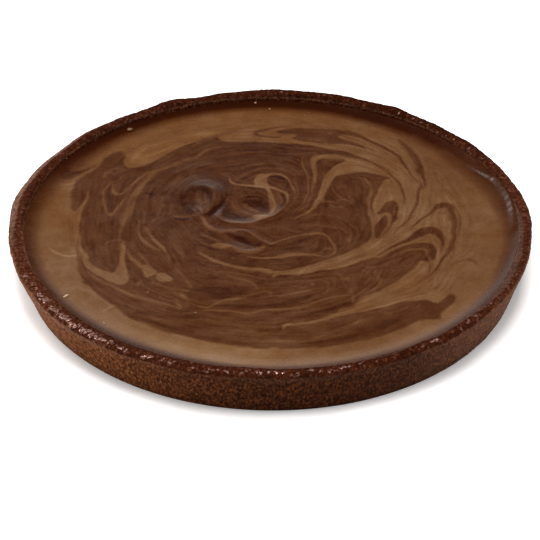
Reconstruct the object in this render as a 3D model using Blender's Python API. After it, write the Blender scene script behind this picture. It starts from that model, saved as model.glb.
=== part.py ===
"""Chocolate tart: a flared pastry case with an uneven rim, filled almost to the rim with
marbled chocolate.

The case is pressed into a flared ring, so it is turned from one profile and its crest is then
made lumpy, as hand-pressed pastry is. The filling is poured in and stirred in the case: it
climbs the pastry all round, and the spoon leaves folds and hollows beside its middle.

Metres, +Z up. The origin is the middle of the flat underside.
"""

import math

import bmesh
import bpy

# Pastry case
BASE_RADIUS = 0.1276         # where the wall meets the underside
BASE_EDGE = 0.0006           # small rounding of that corner
RIM_RADIUS = 0.135           # widest radius, at the shoulder under the crest
SHOULDER_HEIGHT = 0.0250
CREST_HEIGHT = 0.0270        # mean height of the rim's crest
WALL_THICKNESS = 0.0067
FLOOR_THICKNESS = 0.0050
WALL_RINGS = (0.006, 0.012, 0.018, 0.022)   # heights of the rings up the outside
CREST_STEPS = 6              # facets over the crest
CASE_STEPS = 144             # facets round the case

# The crest was pressed by hand, so only the top of the wall is uneven
UNEVEN_FROM = 0.0175         # height where the wall starts to follow the crest's lumps
# Its lumps: azimuth and spread in degrees, then rise in metres
CREST_LUMPS = (
    (20, 9, -0.0003),
    (42, 12, -0.0009),
    (58, 2.5, 0.0008),
    (73, 3.5, 0.0013),
    (87, 6, 0.0010),
    (107, 5, -0.0010),
    (115, 3, 0.0008),
    (126, 6, -0.0008),
    (151, 8, -0.0012),
    (172, 9, 0.0006),
    (205, 10, 0.0004),
    (238, 8, -0.0004),
    (262, 7, 0.0005),
    (291, 9, -0.0005),
    (318, 8, 0.0006),
    (345, 8, -0.0005),
)
# Crumbly waves on top of them: waves per turn, phase in degrees, swing in metres
CREST_WAVES = ((19, 40, 0.00018), (27, 200, 0.00014), (31, 95, 0.00012))
# Waves of the wall's radius, in the same terms
WALL_WAVES = ((2, 20, 0.0003), (3, 130, 0.0003), (7, 60, 0.0002), (13, 10, 0.0002),
              (23, 75, 0.00012))

# Filling
FILLING_LEVEL = 0.0225       # height of its flat part
MENISCUS_TOP = 0.0250        # where it ends on the pastry
MENISCUS_REACH = 0.0030      # how far in from the pastry the climb dies away
FIT_GAP = 0.0003             # clearance to the pastry
FILLING_STEPS = 112          # facets round the filling
WHIRL_CENTRE = (-0.017, 0.014)    # the stirred patch, which gets closer rings
WHIRL_RADIUS = 0.036
WHIRL_RINGS = 14
FIELD_RINGS = 8              # rings over the calm part outside it
EDGE_OFFSETS = (0.0014, 0.0030, 0.0050, 0.0085)   # rings close to the pastry

# Folds that the spoon raised: centre x and y, radius, start and end angle in degrees, height,
# half width at the start and at the end. Each is a ridge along an arc, and fades at its ends.
FOLDS = (
    (-0.0385, 0.0270, 0.0125, -65, 130, 0.0026, 0.0018, 0.0060),
    (-0.0100, 0.0195, 0.0178, 205, 385, 0.0014, 0.0022, 0.0030),
    (-0.0240, 0.0080, 0.0130, 175, 310, 0.0008, 0.0020, 0.0024),
)
# Hollows that it left: centre x and y, half length, half width, turn in degrees, depth
HOLLOWS = (
    (-0.0405, 0.0240, 0.0090, 0.0060, 80, 0.0015),
    (-0.0285, 0.0170, 0.0090, 0.0026, 68, 0.0014),
    (-0.0120, 0.0190, 0.0130, 0.0105, 15, 0.0012),
    (-0.0130, -0.0120, 0.0110, 0.0050, -40, 0.0009),
)

PASTRY_COLOUR = (0.060, 0.022, 0.011, 1.0)
PASTRY_ROUGHNESS = 0.75
FILLING_COLOUR = (0.160, 0.080, 0.038, 1.0)
FILLING_ROUGHNESS = 0.40


def smoothstep(low, high, value):
    """0 below low, 1 above high, and a smooth ramp between them."""
    t = min(max((value - low) / (high - low), 0.0), 1.0)
    return t * t * (3 - 2 * t)


def turn_between(angle, other):
    """The smaller angle between two directions, in degrees, with its sign."""
    return (angle - other + 180) % 360 - 180


def remove_all_objects():
    for thing in list(bpy.data.objects):
        bpy.data.objects.remove(thing, do_unlink=True)


def new_material(name, colour, roughness):
    material = bpy.data.materials.new(name)
    material.use_nodes = True
    shader = material.node_tree.nodes["Principled BSDF"]
    shader.inputs["Base Color"].default_value = colour
    shader.inputs["Roughness"].default_value = roughness
    shader.inputs["Metallic"].default_value = 0.0
    material.diffuse_color = colour
    return material


def turn_profile(profile, steps):
    """Spin a profile of (radius, height), axis to axis, into a closed round body."""
    body = bmesh.new()
    points = [body.verts.new((radius, 0.0, height)) for radius, height in profile]
    edges = [body.edges.new(pair) for pair in zip(points, points[1:])]
    bmesh.ops.spin(
        body,
        geom=points + edges,
        cent=(0, 0, 0),
        axis=(0, 0, 1),
        dvec=(0, 0, 0),
        angle=2 * math.pi,
        steps=steps,
        use_merge=True,
    )
    bmesh.ops.remove_doubles(body, verts=body.verts, dist=0.00001)
    bmesh.ops.recalc_face_normals(body, faces=body.faces)
    return body


def add_object(name, body, material):
    mesh = bpy.data.meshes.new(name)
    body.to_mesh(mesh)
    body.free()
    mesh.materials.append(material)
    mesh.shade_smooth()
    mesh.set_sharp_from_angle(angle=math.radians(50))
    thing = bpy.data.objects.new(name, mesh)
    bpy.context.scene.collection.objects.link(thing)
    return thing


def outer_radius(height):
    """Radius of the flared outside of the wall."""
    return BASE_RADIUS + (RIM_RADIUS - BASE_RADIUS) * height / SHOULDER_HEIGHT


def inner_radius(height):
    """Radius of the inside of the wall, which flares as the outside does."""
    return outer_radius(height) - WALL_THICKNESS


def case_profile():
    """Half section of the case: along the underside, up, over the crest, down and in."""
    profile = [(0.0, 0.0), (BASE_RADIUS - BASE_EDGE, 0.0), (outer_radius(BASE_EDGE), BASE_EDGE)]
    profile += [(outer_radius(height), height) for height in WALL_RINGS]
    crest_middle = RIM_RADIUS - WALL_THICKNESS / 2
    for step in range(CREST_STEPS + 1):
        angle = math.pi * step / CREST_STEPS
        radius = crest_middle + WALL_THICKNESS / 2 * math.cos(angle)
        height = SHOULDER_HEIGHT + (CREST_HEIGHT - SHOULDER_HEIGHT) * math.sin(angle)
        profile.append((radius, height))
    profile.append((inner_radius(FLOOR_THICKNESS), FLOOR_THICKNESS))
    profile.append((0.0, FLOOR_THICKNESS))
    return profile


def wave_sum(waves, azimuth):
    return sum(
        swing * math.sin(math.radians(count * azimuth + phase)) for count, phase, swing in waves
    )


def crest_rise(azimuth):
    """How far the crest stands above or below its mean height at an azimuth in degrees."""
    rise = wave_sum(CREST_WAVES, azimuth)
    for centre, spread, height in CREST_LUMPS:
        rise += height * math.exp(-((turn_between(azimuth, centre) / spread) ** 2))
    return rise


def press_by_hand(body):
    """Make the turned case uneven: its crest rises and dips and its wall waves in and out."""
    lip_radius = RIM_RADIUS - WALL_THICKNESS
    for vert in body.verts:
        radius = math.hypot(vert.co.x, vert.co.y)
        if radius <= lip_radius:
            continue
        azimuth = math.degrees(math.atan2(vert.co.y, vert.co.x))
        flare = (radius - lip_radius) / WALL_THICKNESS
        swing = wave_sum(WALL_WAVES, azimuth) * smoothstep(0, 1, flare)
        vert.co.x *= 1 + swing / radius
        vert.co.y *= 1 + swing / radius
        follow = smoothstep(UNEVEN_FROM, CREST_HEIGHT, vert.co.z) * smoothstep(0, 0.1, flare)
        vert.co.z += crest_rise(azimuth) * follow


def make_pastry_case(material):
    """The shell of baked pastry: floor, flared wall and lumpy rim."""
    body = turn_profile(case_profile(), CASE_STEPS)
    press_by_hand(body)
    return add_object("pastry_case", body, material)


def fold_height(x, y, fold):
    """Height of one raised fold at a point of the filling's top."""
    centre_x, centre_y, arc_radius, start, end, height, start_width, end_width = fold
    offset_x = x - centre_x
    offset_y = y - centre_y
    half_sweep = (end - start) / 2
    turn = turn_between(math.degrees(math.atan2(offset_y, offset_x)), start + half_sweep)
    along = turn / half_sweep
    half_width = start_width + (end_width - start_width) * (along + 1) / 2
    across = (math.hypot(offset_x, offset_y) - arc_radius) / max(half_width, start_width)
    return height * math.exp(-across * across) * (1 - smoothstep(0.6, 1.1, abs(along)))


def hollow_depth(x, y, hollow):
    """Depth of one oval hollow at a point of the filling's top."""
    centre_x, centre_y, half_length, half_width, turn, depth = hollow
    cosine = math.cos(math.radians(turn))
    sine = math.sin(math.radians(turn))
    along = ((x - centre_x) * cosine + (y - centre_y) * sine) / half_length
    across = ((y - centre_y) * cosine - (x - centre_x) * sine) / half_width
    return depth * math.exp(-(along * along + across * across))


def filling_edge_radius():
    return inner_radius(MENISCUS_TOP) - FIT_GAP


def filling_top(x, y):
    """Height of the filling's top: level, folds, hollows and the climb up the pastry."""
    inset = max(filling_edge_radius() - math.hypot(x, y), 0.0)
    height = FILLING_LEVEL
    height += (MENISCUS_TOP - FILLING_LEVEL) * math.exp(-inset / MENISCUS_REACH)
    height += sum(fold_height(x, y, fold) for fold in FOLDS)
    height -= sum(hollow_depth(x, y, hollow) for hollow in HOLLOWS)
    return height


def filling_profile():
    """Half section of the filling: along its bottom, up the pastry, then in over the top."""
    bottom = FLOOR_THICKNESS + FIT_GAP
    edge = filling_edge_radius()
    profile = [(0.0, bottom), (inner_radius(bottom) - FIT_GAP, bottom), (edge, MENISCUS_TOP)]
    profile += [(edge - offset, FILLING_LEVEL) for offset in EDGE_OFFSETS]
    field_edge = edge - EDGE_OFFSETS[-1]
    for ring in range(1, FIELD_RINGS + 1):
        radius = field_edge + (WHIRL_RADIUS - field_edge) * ring / FIELD_RINGS
        profile.append((radius, FILLING_LEVEL))
    for ring in range(1, WHIRL_RINGS + 1):
        profile.append((WHIRL_RADIUS * (1 - ring / WHIRL_RINGS), FILLING_LEVEL))
    return profile


def make_filling(material):
    """The set chocolate, level in the case, with the spoon's folds left in its top."""
    body = turn_profile(filling_profile(), FILLING_STEPS)
    field_edge = filling_edge_radius() - EDGE_OFFSETS[-1]
    for vert in body.verts:
        if vert.co.z < FILLING_LEVEL - FIT_GAP:
            continue
        shift = 1 - smoothstep(WHIRL_RADIUS, field_edge, math.hypot(vert.co.x, vert.co.y))
        vert.co.x += WHIRL_CENTRE[0] * shift
        vert.co.y += WHIRL_CENTRE[1] * shift
        vert.co.z = filling_top(vert.co.x, vert.co.y)
    return add_object("chocolate_filling", body, material)


remove_all_objects()
make_pastry_case(new_material("pastry", PASTRY_COLOUR, PASTRY_ROUGHNESS))
make_filling(new_material("chocolate", FILLING_COLOUR, FILLING_ROUGHNESS))
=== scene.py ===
"""Chocolate tart: a flared chocolate pastry case, filled almost to the rim with two chocolates
that were poured one into the other and stirred into a marble.
"""

import math

import bpy
import numpy as np
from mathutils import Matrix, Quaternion, Vector


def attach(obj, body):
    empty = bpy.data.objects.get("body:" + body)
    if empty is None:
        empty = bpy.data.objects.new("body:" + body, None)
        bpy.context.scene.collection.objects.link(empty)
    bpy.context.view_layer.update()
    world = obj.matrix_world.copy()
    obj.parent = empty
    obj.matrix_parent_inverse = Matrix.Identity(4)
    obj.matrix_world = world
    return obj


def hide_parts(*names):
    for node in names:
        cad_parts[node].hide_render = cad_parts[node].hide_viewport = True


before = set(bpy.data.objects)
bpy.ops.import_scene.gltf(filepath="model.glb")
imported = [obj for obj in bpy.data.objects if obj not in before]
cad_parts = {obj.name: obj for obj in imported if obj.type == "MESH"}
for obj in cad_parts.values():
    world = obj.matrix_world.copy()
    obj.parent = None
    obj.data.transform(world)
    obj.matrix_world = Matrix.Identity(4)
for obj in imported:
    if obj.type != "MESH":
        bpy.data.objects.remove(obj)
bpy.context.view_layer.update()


# ---------------------------------------------------------------------------------------------
# Pastry case
# A shell of dark cocoa shortcrust, pressed by hand into a flared ring and baked. Its outside
# keeps the open crumb of the dough, and its crest is glazed and knocked uneven.

MM = 0.001
BASE_RADIUS = 0.1276         # where the wall meets the underside
RIM_RADIUS = 0.135           # widest radius, at the shoulder under the crest
SHOULDER_HEIGHT = 0.0250
CREST_HEIGHT = 0.0270        # mean height of the crest
WALL_THICKNESS = 0.0067
FLOOR_THICKNESS = 0.0050
UNEVEN_FROM = 0.0175         # height where the wall starts to follow the crest's lumps
CASE_STEPS = 1360            # facets round the case
WALL_STEPS = 40              # rings up the outside
CREST_STEPS = 16             # rings over the crest
LIP_STEPS = 5                # rings down the inside, to below the filling's edge
LIP_DEPTH = 0.0045

# Lumps of the crest: azimuth and spread in degrees, then rise in metres
CREST_LUMPS = (
    (20, 9, -0.0003),
    (43, 11, -0.0006),
    (58, 2.5, 0.0008),
    (73, 4.5, 0.0010),
    (87, 6, 0.0010),
    (107, 5, -0.0007),
    (115, 4, 0.0005),
    (126, 6, -0.0006),
    (151, 8, -0.0012),
    (172, 9, 0.0006),
    (205, 10, 0.0004),
    (238, 8, -0.0004),
    (262, 7, 0.0005),
    (291, 9, -0.0005),
    (318, 8, 0.0006),
    (345, 8, -0.0005),
)
# Crumbly waves on top of them: waves per turn, phase in degrees, swing in metres
CREST_WAVES = ((19, 40, 0.00018), (27, 200, 0.00014), (31, 95, 0.00012))
# Waves of the wall's radius, in the same terms
WALL_WAVES = (
    (2, 20, 0.0003),
    (3, 130, 0.0003),
    (7, 60, 0.0002),
    (13, 10, 0.0002),
    (23, 75, 0.00012),
)
# How the bake came out round the case: azimuth in degrees, then from 0 to 1 how pale the wall is,
# which is partly its toasting and partly painted light, palest at the left and darkest at the front,
# how pale the crest is, how much glaze lies on it, where across it that gathered from the outside,
# how far chocolate is smeared over it, and how much pale pinkish grey lies on the upper wall
BAKE = (
    (-180, 0.60, 0.45, 0.05, 0.40, 0.00, 0.30),
    (-165, 1.00, 0.62, 0.05, 0.33, 0.00, 0.60),
    (-150, 1.00, 0.62, 0.45, 0.33, 0.00, 0.30),
    (-137, 0.78, 0.40, 1.00, 0.30, 0.00, 0.05),
    (-120, 0.46, 0.35, 0.52, 0.30, 0.00, 0.00),
    (-105, 0.16, 0.25, 0.30, 0.30, 0.10, 0.00),
    (-90, 0.02, 0.25, 0.50, 0.32, 0.25, 0.00),
    (-75, 0.00, 0.20, 0.42, 0.34, 0.45, 0.00),
    (-60, 0.00, 0.15, 0.25, 0.34, 0.52, 0.05),
    (-45, 0.22, 0.25, 0.45, 0.34, 0.62, 0.16),
    (-30, 0.36, 0.50, 0.20, 0.33, 0.90, 0.30),
    (-15, 0.40, 0.45, 0.12, 0.40, 0.70, 0.50),
    (0, 0.40, 0.60, 0.05, 0.50, 0.55, 0.40),
    (15, 0.40, 0.50, 0.05, 0.60, 0.12, 0.30),
    (30, 0.40, 0.25, 0.15, 0.75, 0.00, 0.20),
    (45, 0.40, 0.05, 0.40, 0.82, 0.00, 0.20),
    (60, 0.40, 0.05, 0.25, 0.82, 0.00, 0.20),
    (75, 0.40, 0.12, 0.12, 0.70, 0.00, 0.20),
    (90, 0.40, 0.20, 0.20, 0.66, 0.00, 0.20),
    (115, 0.40, 0.20, 0.12, 0.75, 0.00, 0.20),
    (150, 0.40, 0.30, 0.10, 0.60, 0.00, 0.20),
    (180, 0.60, 0.45, 0.05, 0.40, 0.00, 0.30),
)
# Where the dough bulged out of round: azimuth and spread in degrees, push outward in metres
BULGES = ((-142, 20, 0.0011), (-168, 9, 0.0006), (-88, 14, 0.0003))
# A second lip that the dough formed outside the crest on the left
LEDGE_MIDDLE = 163
LEDGE_SPREAD = 25
LEDGE_REACH = 0.0019
LEDGE_DROP = 0.0009
LEDGE_FROM = 0.0205          # height where it begins to leave the wall
LEDGE_FULL = 0.0235
GROOVE_DEPTH = 0.3           # of the groove between ledge and crest, in millimetres
# Crumb of the outside: size and depth in millimetres, seed
CRUMB_RELIEF = ((1.5, 0.16, 11), (3.6, 0.10, 12), (0.85, 0.08, 13))
PIT_DEPTH = 0.35             # of the deepest holes in the crumb, in millimetres


def smoothstep(low, high, value):
    """0 below low, 1 above high, and a smooth ramp between them."""
    t = np.clip((value - low) / (high - low), 0.0, 1.0)
    return t * t * (3 - 2 * t)


def turn_between(angle, other):
    """The smaller angle between two directions, in degrees, with its sign."""
    return (angle - other + 180) % 360 - 180


def outer_radius(height):
    return BASE_RADIUS + (RIM_RADIUS - BASE_RADIUS) * height / SHOULDER_HEIGHT


def inner_radius(height):
    return outer_radius(height) - WALL_THICKNESS


def wave_sum(waves, azimuth):
    return sum(swing * np.sin(np.radians(count * azimuth + phase)) for count, phase, swing in waves)


def add_bumps(total, azimuth, bumps):
    """Add round bumps, each with its azimuth and spread in degrees and its size in metres."""
    for middle, spread, size in bumps:
        total = total + size * np.exp(-((turn_between(azimuth, middle) / spread) ** 2))
    return total


def lumps(points, size, seed):
    """Smooth random swellings of about that size, from about -2 to 2, at points in metres."""
    cells = points / size
    low = np.floor(cells.min(0)).astype(int)
    spot = np.floor(cells).astype(int) - low
    table = np.random.default_rng(seed).standard_normal(spot.max(0) + 2)
    part = cells - low - spot
    part = part * part * (3 - 2 * part)
    total = np.zeros(len(points))
    for corner in np.ndindex(2, 2, 2):
        share = np.prod(np.where(corner, part, 1 - part), axis=1)
        total += share * table[tuple((spot + corner).T)]
    return total


def case_profile():
    """Half section of the case as radius and height: underside, wall, crest, inside, floor."""
    profile = [(0.0005, 0.0), (0.06, 0.0), (0.11, 0.0), (0.122, 0.0), (0.1255, 0.0)]
    profile += [(BASE_RADIUS - 0.0008, 0.0), (BASE_RADIUS - 0.0002, 0.0002)]
    for step in range(1, WALL_STEPS):
        height = SHOULDER_HEIGHT * step / WALL_STEPS
        profile.append((outer_radius(height), height))
    crest_middle = RIM_RADIUS - WALL_THICKNESS / 2
    for step in range(CREST_STEPS + 1):
        angle = math.pi * step / CREST_STEPS
        radius = crest_middle + WALL_THICKNESS / 2 * math.cos(angle)
        height = SHOULDER_HEIGHT + (CREST_HEIGHT - SHOULDER_HEIGHT) * math.sin(angle)
        profile.append((radius, height))
    for step in range(1, LIP_STEPS + 1):
        height = SHOULDER_HEIGHT - LIP_DEPTH * step / LIP_STEPS
        profile.append((inner_radius(height), height))
    profile += [(inner_radius(FLOOR_THICKNESS), FLOOR_THICKNESS), (0.0005, FLOOR_THICKNESS)]
    return np.array(profile)


def turned_grid(profile, azimuths):
    """Points of a profile turned about the axis, one row for each profile point."""
    angle = np.radians(azimuths)
    x = profile[:, :1] * np.cos(angle)
    y = profile[:, :1] * np.sin(angle)
    z = np.repeat(profile[:, 1:], len(azimuths), axis=1)
    return np.stack([x, y, z], axis=-1)


def ring_faces(rows, steps, first=0):
    """Quads between rows of a turned grid, its vertices numbered row by row."""
    row, step = np.meshgrid(np.arange(rows - 1), np.arange(steps), indexing="ij")
    here = first + row * steps + step
    beside = first + row * steps + (step + 1) % steps
    return np.stack([here, beside, beside + steps, here + steps], axis=-1).reshape(-1, 4)


def make_piece(name, points, faces, material):
    """A smooth-shaded mesh object from points in metres and lists of faces."""
    mesh = bpy.data.meshes.new(name)
    mesh.from_pydata(points.tolist(), [], faces)
    mesh.materials.append(material)
    mesh.shade_smooth()
    mesh.validate()
    piece = bpy.data.objects.new(name, mesh)
    bpy.context.scene.collection.objects.link(piece)
    return piece


def paint_attribute(piece, name, values):
    """Store one number for each vertex, for the piece's material to read."""
    attribute = piece.data.attributes.new(name, "FLOAT", "POINT")
    attribute.data.foreach_set("value", np.asarray(values, np.float32))


def crumble(points, profile, radius, height, azimuths):
    """Push the case's surface in and out, as baked crumb is."""
    flat = points.reshape(-1, 3)
    swellings = [lumps(flat, size * MM, seed).reshape(radius.shape) for size, _, seed in CRUMB_RELIEF]
    push = sum(depth * MM * swelling for (_, depth, _), swelling in zip(CRUMB_RELIEF, swellings))
    pits = -PIT_DEPTH * MM * np.clip(swellings[0] - 1.1, 0, 1.2)
    crest = smoothstep(0.0235, 0.0262, height)
    push = push * (1 - 0.35 * crest) + pits * (1 - 0.9 * crest)
    push *= smoothstep(0.0, 0.0015, height) * smoothstep(0.118, 0.1255, radius)
    run = np.gradient(profile, axis=0)
    run /= np.hypot(run[:, 0], run[:, 1])[:, None]
    outward = turned_grid(np.column_stack([run[:, 1], -run[:, 0]]), azimuths)
    return points + outward * push[..., None]


def paint_bake(piece, azimuths, height, across, beside, lip):
    """Store how each spot of the case came out of the oven, what was spilt on it, and the painted
    light and sheen on it.
    """
    table = np.array(BAKE, float).T
    turned = turn_between(azimuths, 0)
    bake = [np.interp(turned, table[0], row) for row in table[1:]]
    wall_pale_and_painted_light, crest_pale, glazed, glaze_line, smeared, pale_top = bake
    on_crest = height >= SHOULDER_HEIGHT
    dark_from = 0.0240 + 0.0022 * pale_top
    crest = np.where(lip, 1.0, smoothstep(dark_from, dark_from + 0.0016, height))
    glaze = glazed * np.exp(-(((across - glaze_line) / 0.22) ** 2)) * on_crest
    smear_from = 1.05 - 0.75 * smeared
    smear = smoothstep(smear_from, smear_from + 0.12, across) * on_crest * (smeared > 0.01)
    shelf = beside * np.where(on_crest, smoothstep(0.42, 0.20, across), 1)
    # Painted sheen: the pale pinkish grey grows where the glaze ran down the wall and lies along the
    # ledge, where the light catches them
    pale_top = pale_top + 0.35 * glazed ** 2 * smoothstep(0.0195, 0.0235, height)
    pale_grey_and_sheen = np.maximum(0.80 * shelf * smoothstep(0.0225, 0.0245, height), pale_top * (1 - crest))
    paint_attribute(piece, "crest_share", crest.ravel())
    paint_attribute(piece, "paleness", (wall_pale_and_painted_light + (crest_pale - wall_pale_and_painted_light) * crest).ravel())
    paint_attribute(piece, "glaze", glaze.ravel())
    paint_attribute(piece, "smear", smear.ravel())
    paint_attribute(piece, "pale_grey_and_sheen", np.where(lip, 0, pale_grey_and_sheen).ravel())


def make_case(material):
    """The whole case: a turned shell, swung out of round, with its lumps, ledge and crumb."""
    azimuths = np.arange(CASE_STEPS) * 360 / CASE_STEPS
    profile = case_profile()
    rows = len(profile)
    points = turned_grid(profile, azimuths)
    radius = np.hypot(points[..., 0], points[..., 1])
    height = points[..., 2].copy()
    across = (RIM_RADIUS - radius) / WALL_THICKNESS
    flare = np.clip((radius - (RIM_RADIUS - WALL_THICKNESS)) / WALL_THICKNESS, 0, 1)
    on_crest = height >= SHOULDER_HEIGHT
    lip = np.arange(rows)[:, None] >= rows - 2 - LIP_STEPS
    beside = np.exp(-((turn_between(azimuths, LEDGE_MIDDLE) / LEDGE_SPREAD) ** 4))[None, :]
    ledge = smoothstep(LEDGE_FROM, LEDGE_FULL, height) * beside * ~lip
    ledge *= np.where(on_crest, smoothstep(0.32, 0.12, across), 1)
    swing = add_bumps(wave_sum(WALL_WAVES, azimuths), azimuths, BULGES)
    stretch = swing * smoothstep(0, 1, flare) + LEDGE_REACH * ledge
    points[..., :2] *= (1 + stretch / radius)[..., None]
    follow = smoothstep(UNEVEN_FROM, CREST_HEIGHT, height) * smoothstep(0, 0.1, flare)
    points[..., 2] += add_bumps(wave_sum(CREST_WAVES, azimuths), azimuths, CREST_LUMPS) * follow
    groove = np.exp(-(((across - 0.22) / 0.07) ** 2)) * on_crest * beside
    points[..., 2] -= LEDGE_DROP * ledge * smoothstep(0.0235, 0.0252, height)
    points[..., 2] -= GROOVE_DEPTH * MM * groove
    points = crumble(points, profile, radius, height, azimuths)
    faces = ring_faces(rows, CASE_STEPS).tolist()
    faces.append(list(range(CASE_STEPS))[::-1])
    last = (rows - 1) * CASE_STEPS
    faces.append(list(range(last, last + CASE_STEPS)))
    piece = make_piece("crust", points.reshape(-1, 3), faces, material)
    paint_bake(piece, azimuths, height, across, beside, lip)
    return piece


# Browns of the crumb, from its pits to its peaks: place from 0 to 1, then red, green and blue
DARK_WALL = ((0.0, (34, 13, 4)), (0.5, (54, 25, 10)), (1.0, (84, 43, 20)))
PALE_WALL = ((0.0, (76, 38, 15)), (0.5, (114, 63, 30)), (1.0, (150, 96, 58)))
DARK_CREST = ((0.0, (32, 8, 1)), (0.5, (43, 13, 2)), (0.85, (53, 19, 5)), (1.0, (74, 34, 17)))
PALE_CREST = ((0.0, (58, 27, 14)), (0.5, (78, 41, 26)), (0.85, (91, 52, 36)), (1.0, (126, 84, 66)))
SMEARED = ((0.0, (58, 40, 34)), (1.0, (80, 58, 50)))
# Pale pinkish grey of the upper wall, which is also the painted sheen on the ledge and under the
# glaze
PALE_GREY_AND_SHEEN = (134, 102, 88)
GLAZE_SHINE = (0.30, 0.175, 0.148, 1.0)
WALL_GRAIN = 0.0012          # sizes of the crumb's mottle in metres
CREST_GRAIN = 0.0016
BLOTCH = 0.0035
BEADS_PER_METRE = 800.0      # of the glaze, which dried in beads


def tint(red, green, blue):
    """A colour given as 0 to 255 on a screen, as the shader's linear colour."""
    shares = np.array([red, green, blue]) / 255
    linear = np.where(shares <= 0.04045, shares / 12.92, ((shares + 0.055) / 1.055) ** 2.4)
    return (*linear.tolist(), 1.0)


def add_node(tree, kind, sockets, **settings):
    """A node with its settings, and its sockets set to a value or joined to another node."""
    node = tree.nodes.new(kind)
    for name, value in settings.items():
        setattr(node, name, value)
    for name, value in sockets.items():
        if isinstance(value, bpy.types.NodeSocket):
            tree.links.new(value, node.inputs[name])
        else:
            node.inputs[name].default_value = value
    return node


def reckon(tree, operation, first, second=0.0):
    """One step of arithmetic on two numbers or sockets."""
    return add_node(tree, "ShaderNodeMath", {0: first, 1: second}, operation=operation).outputs[0]


def plus(tree, first, second):
    return reckon(tree, "ADD", first, second)


def times(tree, first, second):
    return reckon(tree, "MULTIPLY", first, second)


def ease(tree, value, low, high, to_low=0.0, to_high=1.0):
    """The value eased from one range into another, and held at its ends."""
    sockets = {
        "Value": value,
        "From Min": low,
        "From Max": high,
        "To Min": to_low,
        "To Max": to_high,
    }
    node = add_node(tree, "ShaderNodeMapRange", sockets, interpolation_type="SMOOTHSTEP")
    return node.outputs["Result"]


def ramp(tree, value, browns):
    """A colour ramp through browns, each with its place from 0 to 1."""
    node = add_node(tree, "ShaderNodeValToRGB", {"Fac": value})
    elements = node.color_ramp.elements
    elements.remove(elements[1])
    elements[0].position = browns[0][0]
    elements[0].color = tint(*browns[0][1])
    for place, brown in browns[1:]:
        elements.new(place).color = tint(*brown)
    return node.outputs["Color"]


def mix_colours(tree, share, first, second, blend="MIX"):
    """Two colours mixed, the second as far as the share says."""
    node = add_node(tree, "ShaderNodeMix", {}, data_type="RGBA", blend_type=blend)
    for number, value in ((0, share), (6, first), (7, second)):
        if isinstance(value, bpy.types.NodeSocket):
            tree.links.new(value, node.inputs[number])
        else:
            node.inputs[number].default_value = value
    return node.outputs[2]


def shaded(tree, share, colour, shade):
    """The colour multiplied by a grey shade, as far as the share says."""
    grey = add_node(tree, "ShaderNodeCombineColor", {0: shade, 1: shade, 2: shade}).outputs[0]
    return mix_colours(tree, share, colour, grey, "MULTIPLY")


def own_place(tree):
    """Where a point lies in the piece's own space, in metres."""
    return add_node(tree, "ShaderNodeTexCoord", {}).outputs["Object"]


def noise(tree, place, scale, detail, roughness=0.5):
    sockets = {"Vector": place, "Scale": scale, "Detail": detail, "Roughness": roughness}
    return add_node(tree, "ShaderNodeTexNoise", sockets)


def read_attribute(tree, name):
    return add_node(tree, "ShaderNodeAttribute", {}, attribute_name=name).outputs["Fac"]


def raise_bumps(tree, shader, height, distance, strength):
    """Let a fine relief, too low for the mesh, catch the light."""
    sockets = {"Height": height, "Distance": distance, "Strength": strength}
    bump = add_node(tree, "ShaderNodeBump", sockets)
    tree.links.new(bump.outputs["Normal"], shader.inputs["Normal"])


def new_material(name):
    material = bpy.data.materials.new(name)
    material.use_nodes = True
    return material, material.node_tree, material.node_tree.nodes["Principled BSDF"]


def new_group(name, size_name, size, outputs):
    """An empty node group with one size going in and some values coming out."""
    group = bpy.data.node_groups.new(name, "ShaderNodeTree")
    socket = group.interface.new_socket(size_name, in_out="INPUT", socket_type="NodeSocketFloat")
    socket.default_value = size
    for output in outputs:
        group.interface.new_socket(output, in_out="OUTPUT", socket_type="NodeSocketFloat")
    entry = group.nodes.new("NodeGroupInput")
    leave = group.nodes.new("NodeGroupOutput")
    return group, reckon(group, "DIVIDE", 1.0, entry.outputs[size_name]), leave


def build_crumb_grain():
    """Node group: the mottle of baked crumb, as a grain from 0 to 1 and its open pits."""
    group, scale, leave = new_group("crumb_grain", "Grain Size", 0.001, ("Grain", "Pits"))
    sockets = {"Vector": own_place(group), "Scale": (1.0, 1.0, 0.52)}
    stretched = add_node(group, "ShaderNodeMapping", sockets).outputs["Vector"]
    mottle = noise(group, stretched, scale, 3.0, 0.55)
    cells = add_node(group, "ShaderNodeTexVoronoi", {"Vector": stretched, "Scale": scale})
    grain = ease(group, mottle.outputs["Fac"], 0.30, 0.70)
    pits = ease(group, cells.outputs["Distance"], 0.42, 0.80)
    group.links.new(grain, leave.inputs["Grain"])
    group.links.new(pits, leave.inputs["Pits"])
    return group


def add_grain(tree, size):
    """The crumb's mottle at that size in metres, as its grain and its pits."""
    node = add_node(tree, "ShaderNodeGroup", {})
    node.node_tree = crumb_grain
    node.inputs["Grain Size"].default_value = size
    return node.outputs["Grain"], node.outputs["Pits"]


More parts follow.
